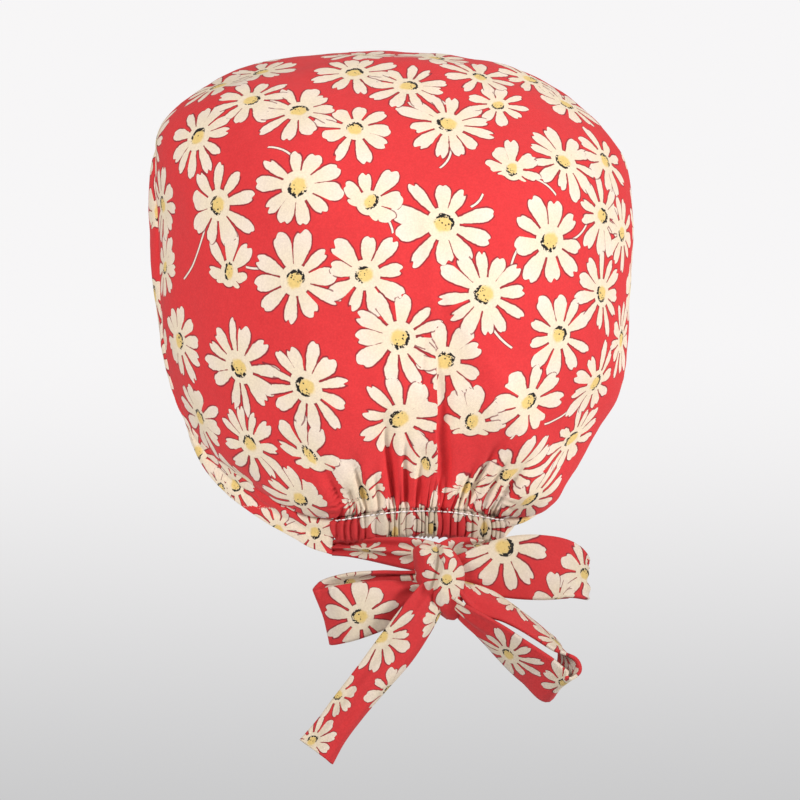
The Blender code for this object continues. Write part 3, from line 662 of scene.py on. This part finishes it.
def print_flowers(piece, places, blooms, stalks):
    """Stores each face's two nearest flowers and its nearest stem as coordinates at its corners."""
    data = piece.data
    _, corners = corner_places(data)
    owner, counts = face_of_corner(data)
    middles = np.zeros((len(counts), 3))
    np.add.at(middles, owner, places[corners])
    middles /= counts[:, None]
    reach = np.stack([np.hypot(*flat_place(middles, bloom)) for bloom in blooms])
    order = np.argsort(reach, axis=0)
    for layer in (0, 1):
        chosen = order[layer][owner]
        values = np.zeros((len(corners), 3))
        for number, bloom in enumerate(blooms):
            mine = chosen == number
            x, y = flat_place(places[corners[mine]], bloom)
            values[mine] = np.stack([x, y, np.full(x.shape, bloom.seed)], axis=-1)
        store(data, f"bloom_{layer + 1}", values)
    values = np.full((len(corners), 3), 9.0)
    if stalks:
        reach = np.stack(
            [np.linalg.norm(middles - one.centre, axis=1) / one.half_length for one in stalks]
        )
        chosen = np.argmin(reach, axis=0)[owner]
        for number, stalk in enumerate(stalks):
            mine = chosen == number
            offset = places[corners[mine]] - stalk.centre
            along = offset @ stalk.right / stalk.half_length
            across = offset @ stalk.up - stalk.bend * stalk.half_length * (1.0 - along**2)
            depth = offset @ np.cross(stalk.right, stalk.up)
            values[mine] = np.stack([along, across / MM, np.abs(depth) / MM], axis=-1)
    store(data, "stalk", values)


def camera_way():
    turn = math.radians(CAMERA_AZIMUTH)
    return np.array([math.sin(turn), -math.cos(turn), 0.0])


def camera_right():
    return np.cross((0.0, 0.0, 1.0), camera_way())


def screen_ray(column, row):
    """The line of sight through a pixel of the photograph."""
    aim = (
        camera_right() * (column - CENTRE_COLUMN) / PIXELS_PER_METRE
        + np.array([0.0, 0.0, 1.0]) * (ORIGIN_ROW - row) / PIXELS_PER_METRE
    )
    start = camera_way() * CAMERA_DISTANCE
    return start, unit(aim - start)


def tree_of(piece):
    places, _ = corner_places(piece.data)
    faces = [tuple(face.vertices) for face in piece.data.polygons]
    return BVHTree.FromPolygons([Vector(place) for place in places], faces)


def on_cloth(tree, column, row):
    """The place and normal of the cloth that shows at a pixel of the photograph."""
    start, way = screen_ray(column, row)
    place, normal, _, _ = tree.ray_cast(Vector(start), Vector(way))
    if place is None:
        near = Vector(start + way * CAMERA_DISTANCE)
        place, normal, _, _ = tree.find_nearest(near)
    normal = np.array(normal)
    if normal @ way > 0:
        normal = -normal
    return np.array(place), normal


def flower_seed(petals, number, sideview=False):
    """A seed whose remainder by six gives the petals, 8 to 13. It is high for a side view."""
    return 6 * (number + 1) + (petals - 8) + (SIDEVIEW if sideview else 0)


def tangent_axes(normal, turn):
    sideways = np.cross((0.0, 0.0, 1.0), normal)
    if np.linalg.norm(sideways) < 0.2:
        sideways = np.array([1.0, 0.0, 0.0])
    sideways = unit(sideways - (sideways @ normal) * normal)
    upward = np.cross(normal, sideways)
    angle = math.radians(turn)
    right = sideways * math.cos(angle) + upward * math.sin(angle)
    return right, np.cross(normal, right)


def spread_gathers(places):
    """Cloth coordinates: where gathers take in width, sideways distances grow to the casing."""
    x, y, z = places[..., 0], places[..., 1], places[..., 2]
    distance = np.hypot(z + SEAM_DROP - CASING_ARCH, y - CASING_BACK)
    distance = np.where(z < -SEAM_DROP + CASING_ARCH, 0.0, distance)
    distance = np.where((z < CROWN_MIDDLE) & (y > 0.0), distance, 1.0)
    angle = fold_angle(x, z)
    taken = fall(distance, 0.0, GATHER_LENGTH)
    within = fall(np.abs(angle), 0.9, 3.6)
    drawn_in = GATHER * casing_half_width() * np.tanh(angle) * within * taken
    ripple = 0.55 * MM * np.sin(2 * np.pi * ruffle_phase(angle)) * taken
    ripple = ripple * fall(np.abs(angle), 0.9, 1.3)
    away = x - PLEAT_SIDE - PLEAT_SLANT * distance
    over = np.where((distance < 1.0) & (away > 0.0), 1.0, 0.0)
    over = over * fall(distance, 0.45 * PLEAT_LENGTH, 0.85 * PLEAT_LENGTH)
    spread = places.copy()
    spread[..., 0] = x + drawn_in + ripple + PLEAT_HIDDEN * over
    return spread


def scatter_pool(pieces, draw):
    pool = []
    for piece in pieces:
        places, _ = corner_places(piece.data)
        normals = np.empty(len(piece.data.vertices) * 3)
        piece.data.vertices.foreach_get("normal", normals)
        pool.append(np.concatenate([places, normals.reshape(-1, 3)], axis=1)[::7])
    pool = np.concatenate(pool)
    return pool[draw.permutation(len(pool))]


def print_cap(pieces, flowers, stems, seed, first):
    """Prints pieces of one cloth: what the photograph shows, and more where it is hidden."""
    trees = {piece.name: tree_of(piece) for piece in pieces}
    found = []
    for number, flower in enumerate(flowers):
        hits = []
        for piece in pieces:
            place, normal = on_cloth(trees[piece.name], flower.column, flower.row)
            start, way = screen_ray(flower.column, flower.row)
            off = np.linalg.norm(np.cross(place - start, way))
            hits.append((round(off, 4), (place - start) @ way, piece.name, place, normal))
        _, _, _, place, normal = min(hits, key=lambda hit: hit[:2])
        found.append((place, normal, flower, first + number))
    draw = np.random.default_rng(seed)
    taken = [spread_gathers(place) for place, *_ in found]
    for candidate in scatter_pool(pieces, draw):
        place, normal = candidate[:3], candidate[3:]
        gaps = np.linalg.norm(np.array(taken) - spread_gathers(place), axis=1)
        if gaps[: len(flowers)].min() > CHOSEN_SPACING and gaps.min() > SCATTER_SPACING:
            flower = Flower(
                0, 0, draw.uniform(17, 20), int(draw.integers(8, 13)), draw.uniform(0, 360),
                draw.choice((1.0, 1.0, 1.0, 0.62)),
            )
            found.append((place, normal, flower, first + len(found)))
            taken.append(spread_gathers(place))
    blooms = []
    for place, normal, flower, number in found:
        right, up = tangent_axes(normal, flower.turn)
        sideview = flower.squash < 0.7
        seed = flower_seed(flower.petals, number, sideview)
        size = flower.radius * FLOWER_SCALE * MM
        squash = 0.9 if sideview else flower.squash
        blooms.append(Bloom(spread_gathers(place), right, up, size, seed, squash))
    stalks = []
    for stem in stems:
        start, normal = on_cloth(trees[pieces[0].name], stem.column, stem.row)
        end, _ = on_cloth(trees[pieces[0].name], stem.end_column, stem.end_row)
        right = unit(end - start)
        stalks.append(
            Stalk((start + end) / 2, right, unit(np.cross(normal, right)),
                  np.linalg.norm(end - start) / 2, stem.bend)
        )
    for piece in pieces:
        places, _ = corner_places(piece.data)
        print_flowers(piece, spread_gathers(places), blooms, stalks)


def knot_centre():
    return np.array([KNOT_SIDE, KNOT_BACK, -KNOT_DROP])


TIE_STEPS = 150
TIE_ACROSS = 20


def tie_stations(start, heading, length, rows):
    turn = math.radians(heading)
    ahead = np.array([math.cos(turn), 0.0, math.sin(turn)])
    lift = np.array([-math.sin(turn), 0.0, math.cos(turn)])
    out = np.array([0.0, 1.0, 0.0])
    table = []
    for row in rows:
        place = (
            start
            + ahead * row.reach * length
            + lift * row.lift * TIE_WIDTH
            + out * row.out * TIE_WIDTH
        )
        angles = [math.radians(row.lean), math.radians(row.curl)]
        table.append([*place, row.width * TIE_WIDTH, *angles])
    stations = through(table, np.linspace(0.0, 1.0, TIE_STEPS + 1))
    centre = stations[:, :3]
    tangent = unit(np.gradient(centre, axis=0))
    across = lift * np.cos(stations[:, 4:5]) + out * np.sin(stations[:, 4:5])
    across = unit(across - (across * tangent).sum(1)[:, None] * tangent)
    return centre, across, np.cross(across, tangent), stations[:, 3], stations[:, 5]


def tie(name, stations, flowers, seed):
    """A folded cotton tie: creased where the knot pulls it in, with print on both faces."""
    centre, across, face, width, curl = stations
    parts = np.linspace(-0.5, 0.5, TIE_ACROSS + 1)
    lengths = np.concatenate([[0.0], np.cumsum(np.linalg.norm(np.diff(centre, axis=0), axis=1))])
    squeeze = np.clip(1.0 - width / TIE_WIDTH, 0.0, 1.0)
    rows = []
    for part in parts:
        bend = np.maximum(curl, 1e-3)
        sideways = width * np.sin(bend * part) / bend
        inward = width * (1.0 - np.cos(bend * part)) / bend
        normal = face * np.cos(bend * part)[:, None] + across * np.sin(bend * part)[:, None]
        pleat = TIE_PLEAT * squeeze * np.cos(2 * np.pi * (2.5 * part + 0.15 * seed))
        middle = centre + across * sideways[:, None] - face * inward[:, None]
        rows.append(middle + normal * (TIE_THICKNESS / 2 + pleat)[:, None])
    points = np.array(rows)
    points += face[None] * (0.35 * MM * waves(points, 30 * MM, 40 + seed, 2))[..., None]
    piece = make_piece(name, points)
    thicken(piece, TIE_THICKNESS)
    total = lengths[-1]
    flat = np.zeros(points.shape)
    flat[..., 0] = lengths[None, :]
    flat[..., 1] = parts[:, None] * TIE_WIDTH
    blooms = []
    for number, flower in enumerate(flowers):
        angle = math.radians(flower.turn)
        right = np.array([math.cos(angle), math.sin(angle), 0.0])
        blooms.append(
            Bloom(np.array([flower.along * total, flower.across * MM, 0.0]), right,
                  np.cross((0.0, 0.0, 1.0), right), flower.radius * MM,
                  flower_seed(flower.petals, 100 + 10 * seed + number), 1.0)
        )
    print_flowers(piece, flat.reshape(-1, 3), blooms, [])
    return piece, total


def strap_stations(side):
    end = seam_at([0.0 if side > 0 else 1.0])[0]
    edge_end, seam_end = end[5:8], end[0:3]
    ceiling = seam_end[2] - CASING_END_HEIGHT - STRAP_DROP
    covered = (ceiling - edge_end[2]) / (seam_end[2] - edge_end[2])
    corner = edge_end + (seam_end - edge_end) * covered
    begin = (edge_end + corner) / 2 - np.array([0.0, CLOTH / 2 + STRAP_TUCK, 0.0])
    finish = knot_centre() + np.array([0.0, -0.3 * KNOT_HALF_DEPTH, 0.60 * KNOT_HALF_LENGTH])
    parts = np.linspace(0.0, 1.0, TIE_STEPS + 1)
    centre = begin + (finish - begin) * parts[:, None]
    centre[:, 2] += STRAP_RISE * np.sin(np.pi * parts) ** 0.7
    width = share(np.linalg.norm(corner - edge_end), 0.50 * TIE_WIDTH, smooth_step(parts, 0.1, 0.9))
    width = width + 2 * STRAP_RISE * np.sin(np.pi * parts) ** 0.7
    tangent = unit(np.gradient(centre, axis=0))
    upward = np.array([0.0, 0.0, -float(side)])
    across = unit(upward - (tangent @ upward)[:, None] * tangent)
    return centre, across, np.cross(across, tangent), width, np.full(len(parts), 0.3)


def knot_points():
    """The wrapped knot: a folded band that turns over the bow, wide above and drawn in below."""
    made = through(KNOT_ROWS, np.linspace(0.0, 1.0, KNOT_STEPS)) * MM
    around = np.linspace(0.0, 2 * np.pi, KNOT_AROUND + 1)[:-1]
    across, deep = np.cos(around), np.sin(around)
    box = (np.abs(across) ** 3.2 + np.abs(deep) ** 3.2) ** (-1.0 / 3.2)
    across, deep = across * box, deep * box
    rows = []
    for left, right, height, depth in made:
        part = (height - made[0, 2]) / (made[-1, 2] - made[0, 2])
        middle, half = (left + right) / 2, (left - right) / 2
        x = middle + across * half
        y = KNOT_BACK + deep * depth
        z = np.full(x.shape, height) + 1.2 * MM * deep * (0.5 - part)
        front = smooth_step(deep, 0.2, 0.8)
        line = share(-4.5, -0.5, smooth_step(part, 0.18, 0.72)) * MM
        step = smooth_step(line - x, -0.35 * MM, 0.35 * MM)
        groove = bell(x - line - 0.8 * MM, 1.1 * MM)
        y = y + front * (2.4 * MM * step - 1.5 * MM * groove * (1 - step))
        pleats = np.cos((x - middle) / (1.35 * MM) + 4.0 * part)
        y = y + front * 0.55 * MM * pleats * fall(part, 0.10, 0.38)
        y = y + front * 0.5 * MM * np.cos((x - middle) / (1.8 * MM)) * smooth_step(part, 0.72, 0.95)
        rows.append(np.stack([x, y, z], axis=1))
    points = np.array(rows)
    out = unit(points - knot_centre())
    return points + out * (0.3 * MM * waves(points, 9 * MM, 21, 2))[..., None]


def make_knot():
    piece = make_piece("knot_wrap", knot_points(), closed=True)
    places, _ = corner_places(piece.data)
    blooms = []
    for number, (column, row, radius, petals, turn) in enumerate(
        ((447, 579, 14, 8, 30), (436, 549, 10, 8, 10))
    ):
        place, normal = on_cloth(tree_of(piece), column, row)
        right, up = tangent_axes(normal, turn)
        blooms.append(Bloom(place, right, up, radius * MM, flower_seed(petals, 300 + number), 1.0))
    for number, side in enumerate((-1.0, 1.0)):
        place = knot_centre() + np.array([side * 0.5 * KNOT_HALF_WIDTH, -KNOT_HALF_DEPTH, 0.0])
        right, up = tangent_axes(np.array([0.0, -1.0, 0.0]), 40.0 * side)
        blooms.append(Bloom(place, right, up, 13 * MM, flower_seed(9, 310 + number), 1.0))
    print_flowers(piece, places, blooms, [])
    return piece


class Shade:
    """Short ways to add shader nodes and join them."""

    def __init__(self, tree):
        self.tree = tree

    def node(self, kind, **settings):
        made = self.tree.nodes.new(kind)
        for name, value in settings.items():
            setattr(made, name, value)
        return made

    def join(self, value, socket):
        if isinstance(value, bpy.types.NodeSocket):
            self.tree.links.new(value, socket)
        elif value is not None:
            socket.default_value = value

    def math(self, operation, first, second=None):
        made = self.node("ShaderNodeMath", operation=operation)
        for value, socket in zip((first, second), made.inputs):
            self.join(value, socket)
        return made.outputs[0]

    def add(self, first, second):
        return self.math("ADD", first, second)

    def sub(self, first, second):
        return self.math("SUBTRACT", first, second)

    def mul(self, first, second):
        return self.math("MULTIPLY", first, second)

    def div(self, first, second):
        return self.math("DIVIDE", first, second)

    def top(self, first, second):
        return self.math("MAXIMUM", first, second)

    def step(self, value, start, end):
        """0 before start and 1 after end, with a smooth rise."""
        made = self.node("ShaderNodeMapRange", interpolation_type="SMOOTHSTEP", clamp=True)
        self.join(value, made.inputs["Value"])
        self.join(start, made.inputs["From Min"])
        self.join(end, made.inputs["From Max"])
        return made.outputs["Result"]

    def fall(self, value, start, end):
        return self.sub(1.0, self.step(value, start, end))

    def length(self, x, y):
        return self.math("SQRT", self.add(self.mul(x, x), self.mul(y, y)))

    def vector(self, x, y, z=0.0):
        made = self.node("ShaderNodeCombineXYZ")
        for value, socket in zip((x, y, z), made.inputs):
            self.join(value, socket)
        return made.outputs[0]

    def chance(self, x, y):
        """Seeded random numbers for a pair of values: the sockets of one, and of three more."""
        made = self.node("ShaderNodeTexWhiteNoise", noise_dimensions="2D")
        self.join(self.vector(x, y), made.inputs["Vector"])
        parts = self.node("ShaderNodeSeparateColor")
        self.join(made.outputs["Color"], parts.inputs[0])
        return made.outputs["Value"], parts.outputs

    def noise(self, place, scale, detail=2.0, roughness=0.5):
        made = self.node("ShaderNodeTexNoise")
        self.join(place, made.inputs["Vector"])
        made.inputs["Scale"].default_value = scale
        made.inputs["Detail"].default_value = detail
        made.inputs["Roughness"].default_value = roughness
        return made.outputs["Fac"]

    def blend(self, share_of_second, first, second, mode="MIX"):
        made = self.node("ShaderNodeMix", data_type="RGBA", blend_type=mode)
        self.join(share_of_second, made.inputs["Factor"])
        self.join(first, made.inputs["A"])
        self.join(second, made.inputs["B"])
        return made.outputs["Result"]

    def attribute(self, name):
        return self.node("ShaderNodeAttribute", attribute_name=name).outputs["Vector"]

    def split(self, vector):
        made = self.node("ShaderNodeSeparateXYZ")
        self.join(vector, made.inputs[0])
        return made.outputs


def daisy_group():
    """One printed daisy: notched petals round a disc, a yellow eye and a broken black ring."""
    group = bpy.data.node_groups.new("daisy", "ShaderNodeTree")
    group.interface.new_socket("Place", in_out="INPUT", socket_type="NodeSocketVector")
    for name in ("Petals", "Edge", "Eye", "Ink", "Radius"):
        group.interface.new_socket(name, in_out="OUTPUT", socket_type="NodeSocketFloat")
    made = Shade(group)
    source = made.node("NodeGroupInput")
    sink = made.node("NodeGroupOutput")
    x, y, seed = made.split(source.outputs[0])
    seed = made.math("FLOOR", made.add(seed, 0.5))
    radius = made.length(x, y)
    count = made.add(made.math("MODULO", seed, 6.0), 8.0)
    sideview = made.math("GREATER_THAN", seed, float(SIDEVIEW) - 1.0)
    seed_share = made.mul(seed, 0.173)
    place = made.vector(x, y, seed_share)
    blots = made.sub(made.noise(place, 8.0), 0.5)
    turn = made.mul(made.math("ARCTAN2", y, x), 1.0 / (2 * math.pi))
    spoke = made.add(made.mul(made.add(turn, 1.0), count), 0.5)
    number = made.math("MODULO", made.math("FLOOR", spoke), count)
    _, draws = made.chance(number, seed_share)
    lean = made.mul(made.sub(draws[0], 0.5), 0.30)
    aside = made.sub(made.sub(made.math("FRACT", spoke), 0.5), lean)
    angle = made.mul(aside, made.div(2 * math.pi, count))
    along = made.mul(radius, made.math("COSINE", angle))
    across = made.mul(radius, made.math("SINE", angle))
    half_width = made.div(made.add(1.02, made.mul(draws[1], 0.84)), count)
    back = made.mul(made.math("COSINE", made.mul(turn, 2 * math.pi)), 0.5)
    back = made.mul(made.sub(0.5, back), sideview)
    reach = made.add(0.72, made.mul(draws[2], 0.28))
    reach = made.mul(reach, made.sub(1.0, made.mul(made.math("POWER", back, 2.2), 0.86)))
    notch_side = made.mul(made.sub(draws[1], 0.5), made.mul(half_width, 1.1))
    notch = made.div(made.sub(across, notch_side), made.mul(half_width, 0.28))
    notch = made.math("EXPONENT", made.mul(made.mul(notch, notch), -1.0))
    notch = made.sub(1.0, made.mul(notch, made.add(0.03, made.mul(draws[0], 0.10))))
    part = made.div(along, made.mul(reach, notch))
    body = made.add(0.36, made.mul(made.step(part, 0.15, 0.74), 0.64))
    round_off = made.top(made.div(made.sub(part, 0.76), 0.24), 0.0)
    tip = made.math("SQRT", made.top(made.sub(1.0, made.mul(round_off, round_off)), 0.0))
    inside = made.sub(made.mul(made.mul(half_width, body), tip), made.math("ABSOLUTE", across))
    inside = made.sub(inside, made.top(made.sub(part, 1.0), 0.0))
    inside = made.add(inside, made.mul(blots, 0.045))
    disc = made.sub(0.31, made.mul(back, 0.03))
    inside = made.top(inside, made.sub(disc, radius))
    petals = made.step(inside, 0.0, 0.012)
    edge = made.step(inside, -0.030, -0.016)
    eye_x = made.sub(x, made.mul(sideview, 0.05))
    eye_y = made.mul(y, made.add(1.12, made.mul(sideview, 0.15)))
    eye_radius = made.length(eye_x, eye_y)
    eye_radius = made.add(eye_radius, made.mul(blots, 0.10))
    eye = made.fall(eye_radius, 0.120, 0.205)
    start, _ = made.chance(seed_share, 3.7)
    swing = made.math("COSINE", made.mul(made.sub(turn, start), 2 * math.pi))
    breaks = made.noise(place, 21.0, 1.0)
    ring = made.math("ABSOLUTE", made.sub(eye_radius, 0.176))
    thick = made.add(0.016, made.mul(made.noise(place, 12.0), 0.046))
    thick = made.mul(made.step(swing, -0.45, 0.6), thick)
    thick = made.mul(thick, made.step(breaks, 0.36, 0.46))
    ink = made.fall(made.sub(ring, thick), -0.010, 0.004)
    ink = made.mul(ink, made.step(thick, 0.006, 0.012))
    dots = made.node("ShaderNodeTexVoronoi", voronoi_dimensions="3D", feature="F1")
    made.join(place, dots.inputs["Vector"])
    dots.inputs["Scale"].default_value = 17.0
    dot = made.fall(dots.outputs["Distance"], 0.24, 0.34)
    near_ring = made.mul(made.step(swing, -0.9, 0.3), made.fall(eye_radius, 0.16, 0.19))
    ink = made.top(ink, made.mul(made.mul(dot, near_ring), made.step(breaks, 0.38, 0.46)))
    for value, socket in zip((petals, edge, eye, ink, radius), sink.inputs):
        made.join(value, socket)
    return group


DAISY = daisy_group()


def print_colours(shade):
    """The print's colour at a point, and how much of it is ink on top of the red ground."""
    ground = shade.node("ShaderNodeTexCoord").outputs["Object"]
    mottle = shade.noise(ground, 260.0, 3.0, 0.6)
    colour = shade.blend(shade.mul(mottle, 0.55), RED, DEEP_RED)
    stalk = shade.split(shade.attribute("stalk"))
    across = shade.math("ABSOLUTE", stalk[1])
    ends = shade.fall(shade.math("ABSOLUTE", stalk[0]), 0.97, 1.03)
    ends = shade.mul(ends, shade.fall(stalk[2], 10.0, 12.0))
    rim = shade.mul(shade.fall(across, 0.72, 0.95), ends)
    line = shade.mul(shade.fall(across, 0.38, 0.58), ends)
    colour = shade.blend(rim, colour, OUTLINE)
    colour = shade.blend(line, colour, CREAM_TIP)
    covered = line
    for layer in ("bloom_2", "bloom_1"):
        daisy = shade.node("ShaderNodeGroup", node_tree=DAISY)
        shade.join(shade.attribute(layer), daisy.inputs[0])
        petals, edge, eye, ink, radius = daisy.outputs
        petal = shade.blend(shade.step(radius, 0.25, 0.95), CREAM, CREAM_TIP)
        streak = shade.noise(ground, 700.0, 2.0, 0.6)
        petal = shade.blend(shade.mul(streak, 0.18), petal, CREAM_STREAK)
        colour = shade.blend(shade.mul(edge, 0.8), colour, OUTLINE)
        colour = shade.blend(petals, colour, petal)
        colour = shade.blend(eye, colour, YELLOW)
        colour = shade.blend(ink, colour, INK)
        covered = shade.top(covered, petals)
    threads = shade.noise(ground, 1100.0, 2.0, 0.7)
    pale = shade.blend(shade.step(threads, 0.35, 0.7), THREAD_SHADE, (1.0, 1.0, 1.0, 1.0))
    return shade.blend(1.0, colour, pale, mode="MULTIPLY"), covered, ground


def weave_bump(shade, ground):
    """Crossing threads, with slubs and small creases under them."""
    x, y, z = shade.split(ground)
    turn = shade.math("ARCTAN2", x, shade.sub(y, 0.01))
    warp = shade.math("SINE", shade.mul(turn, 2 * math.pi * 190.0))
    height = shade.sub(z, shade.length(x, y))
    weft = shade.math("SINE", shade.mul(height, 2 * math.pi / (0.52 * MM)))
    threads = shade.mul(shade.mul(warp, weft), 0.5)
    slubs = shade.noise(ground, 420.0, 4.0, 0.65)
    creases = shade.noise(ground, 55.0, 3.0, 0.5)
    total = shade.add(shade.mul(threads, 0.35), shade.add(slubs, shade.mul(creases, 4.2)))
    bump = shade.node("ShaderNodeBump")
    bump.inputs["Strength"].default_value = WEAVE_STRENGTH
    bump.inputs["Distance"].default_value = WEAVE_DEPTH
    shade.join(total, bump.inputs["Height"])
    return bump.outputs["Normal"]


def new_material(name, **values):
    """A material with the given values on its shader, its short ways, and the shader's sockets."""
    material = bpy.data.materials.new(name)
    material.use_nodes = True
    inputs = material.node_tree.nodes["Principled BSDF"].inputs
    for socket, value in values.items():
        inputs[socket.replace("_", " ")].default_value = value
    return material, Shade(material.node_tree), inputs


def cotton_material(name, printed=True, painted_shade_tone=1.0):
    material, shade, inputs = new_material(
        name, Specular_IOR_Level=0.28, Sheen_Weight=0.04, Sheen_Roughness=0.5
    )
    colour, covered, ground = print_colours(shade)
    if not printed:
        colour = shade.blend(covered, WRONG_SIDE, WRONG_SIDE_PALE)
    # Below 1, the tone darkens the whole colour evenly: this is painted shade.
    colour = shade.blend(1.0, colour, (painted_shade_tone, 0.96 * painted_shade_tone, 0.94 * painted_shade_tone, 1.0), mode="MULTIPLY")
    shade.join(colour, inputs["Base Color"])
    rough = shade.add(0.72, shade.mul(shade.noise(ground, 300.0, 2.0), 0.18))
    shade.join(rough, inputs["Roughness"])
    shade.join(weave_bump(shade, ground), inputs["Normal"])
    return material


def thread_material():
    material, shade, inputs = new_material("white_thread", Roughness=0.6)
    ground = shade.node("ShaderNodeTexCoord").outputs["Object"]
    twist = shade.mul(shade.noise(ground, 1500.0, 2.0), 0.5)
    shade.join(shade.blend(twist, THREAD_WHITE, THREAD_GREY), inputs["Base Color"])
    return material


PRINTED = cotton_material("printed_cotton")
REVERSE = cotton_material("cotton_wrong_side", printed=False)
# The casing's colour is darkened to 0.66 as painted shade, standing in for the shade in its
# gathers.
SHADED_CASING_COTTON = cotton_material("casing_cotton", painted_shade_tone=0.66)
# The colour of the ties and the knot is darkened to 0.70 as painted shade, standing in for the
# shade under the cap.
SHADED_TIE_COTTON = cotton_material("tie_cotton", painted_shade_tone=0.70)
WHITE = thread_material()


def stitches(name, line, normals):
    """Raised stitches along a line on the cloth, as one mesh of small tapered prisms."""
    steps = np.concatenate([[0.0], np.cumsum(np.linalg.norm(np.diff(line, axis=0), axis=1))])
    places, faces = [], []
    for number in range(int(steps[-1] / STITCH_PITCH)):
        begin = number * STITCH_PITCH
        at = np.linspace(begin, begin + STITCH, STITCH_RINGS)
        middle = np.stack([np.interp(at, steps, line[:, k]) for k in range(3)], axis=1)
        up = unit(np.stack([np.interp(at, steps, normals[:, k]) for k in range(3)], axis=1))
        ahead = unit(np.gradient(middle, axis=0))
        aside = unit(np.cross(up, ahead))
        base = len(places)
        for k in range(STITCH_RINGS):
            height = math.sin(math.pi * (k / (STITCH_RINGS - 1))) ** 0.6
            size = THREAD * (0.55 + 0.45 * height)
            for corner in range(STITCH_SIDES):
                turn = corner * math.pi / 3
                places.append(
                    middle[k]
                    + aside[k] * math.cos(turn) * size
                    + up[k] * (math.sin(turn) * size + (height - 0.5) * 0.25 * MM)
                )
        for low in range(base, len(places) - STITCH_SIDES, STITCH_SIDES):
            high = low + STITCH_SIDES
            for corner in range(STITCH_SIDES):
                other = (corner + 1) % STITCH_SIDES
                faces.append((low + corner, low + other, high + other, high + corner))
        faces.append(tuple(range(base + STITCH_SIDES - 1, base - 1, -1)))
        faces.append(tuple(range(len(places) - STITCH_SIDES, len(places))))
    return add_mesh(name, np.array(places), faces)


def dress(piece, nodes, materials):
    for material in materials:
        piece.data.materials.append(material)
    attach(piece, "root")
    if nodes:
        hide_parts(*nodes)


crown_grid = crown_points()
crown = make_piece("crown_cloth", crown_grid, closed=True)
band_grid = band_points()
band = make_piece("front_band_cloth", band_grid)
casing_grid = casing_points()
casing = make_piece("nape_casing_cloth", casing_grid)
print_cap([crown, casing], CROWN_FLOWERS, CROWN_STEMS, SCATTER_SEED, 0)
print_cap([band], BAND_FLOWERS, (), SCATTER_SEED + 1, 400)
thicken(crown, CLOTH, 1)
thicken(band, CLOTH, 1)
thicken(casing, CASING_CLOTH, 1)
dress(crown, ["crown"], [PRINTED, REVERSE])
dress(band, ["front_band"], [PRINTED, REVERSE])
dress(casing, ["nape_casing"], [SHADED_CASING_COTTON, REVERSE])

stitch_normals = grid_normals(casing_grid, closed=False)[-3]
stitch_row = casing_grid[-3] + stitch_normals * 0.45 * MM
casing_stitches = stitches("casing_stitches", stitch_row, stitch_normals)
dress(casing_stitches, [], [WHITE])

knot = make_knot()
dress(knot, ["knot"], [SHADED_TIE_COTTON])

STRAPS = (
    ("strap_left", strap_stations(1), STRAP_FLOWERS),
    ("strap_right", strap_stations(-1), STRAP_FLOWERS),
)
BOW = tuple(
    (node, tie_stations(knot_centre(), heading, length, rows), flowers)
    for node, heading, length, rows, flowers in (
        ("bow_loop_left", LEFT_LOOP_HEADING, LEFT_LOOP, LEFT_LOOP_ROWS, LEFT_LOOP_FLOWERS),
        ("bow_loop_right", RIGHT_LOOP_HEADING, RIGHT_LOOP, RIGHT_LOOP_ROWS, RIGHT_LOOP_FLOWERS),
        ("bow_loop_lower", LOWER_LOOP_HEADING, LOWER_LOOP, LOWER_LOOP_ROWS, LOWER_LOOP_FLOWERS),
        ("tie_tail", TAIL_HEADING, TAIL, TAIL_ROWS, TAIL_FLOWERS),
    )
)
for number, (node, stations, flowers) in enumerate(STRAPS + BOW):
    piece, length = tie(node + "_cloth", stations, flowers, number)
    dress(piece, [node], [SHADED_TIE_COTTON])


def make_floor():
    bpy.ops.mesh.primitive_plane_add(size=3.0, location=(0.0, 0.0, -0.9))
    floor = bpy.context.object
    floor.name = "floor"
    material, _, _ = new_material("pale_floor", Base_Color=FLOOR_GREY, Roughness=0.9)
    floor.data.materials.append(material)


def make_world():
    world = bpy.data.worlds.new("studio")
    world.use_nodes = True
    bpy.context.scene.world = world
    shade = Shade(world.node_tree)
    way = shade.split(shade.node("ShaderNodeTexCoord").outputs["Generated"])
    # Seen by the camera, the backdrop is darker below the horizon and paler above it: painted shade
    # on the backdrop.
    seen = shade.blend(shade.step(way[2], -0.062, 0.008), WALL_LOW, WALL_HIGH)
    cast = shade.blend(shade.step(way[2], -0.6, 0.8), CAST_LOW, CAST_HIGH)
    direct = shade.node("ShaderNodeLightPath").outputs["Is Camera Ray"]
    background = world.node_tree.nodes["Background"]
    shade.join(shade.blend(direct, cast, seen), background.inputs["Color"])
    background.inputs["Strength"].default_value = 1.0


def add_light(name, place, size, watts):
    lamp = bpy.data.lights.new(name, "AREA")
    lamp.size = size
    lamp.energy = watts
    light = add_object(name, lamp)
    light.location = place
    light.rotation_euler = (-Vector(place)).to_track_quat("-Z", "Y").to_euler()


def make_camera():
    lens = bpy.data.cameras.new("camera")
    lens.sensor_width = SENSOR
    lens.lens = SENSOR * CAMERA_DISTANCE / (FRAME / PIXELS_PER_METRE)
    lens.shift_x = (FRAME / 2 - CENTRE_COLUMN) / FRAME
    lens.shift_y = (ORIGIN_ROW - FRAME / 2) / FRAME
    lens.clip_end = 50.0
    camera = add_object("camera", lens)
    camera.location = Vector(camera_way() * CAMERA_DISTANCE)
    camera.rotation_euler = (-camera.location).to_track_quat("-Z", "Y").to_euler()
    bpy.context.scene.camera = camera


make_floor()
make_world()
add_light("key", (-2.75, 2.05, 0.72), 0.9, 98.0)
add_light("second", (2.3, 2.4, 1.2), 0.9, 84.0)
make_camera()
bpy.context.scene.view_settings.view_transform = "Standard"
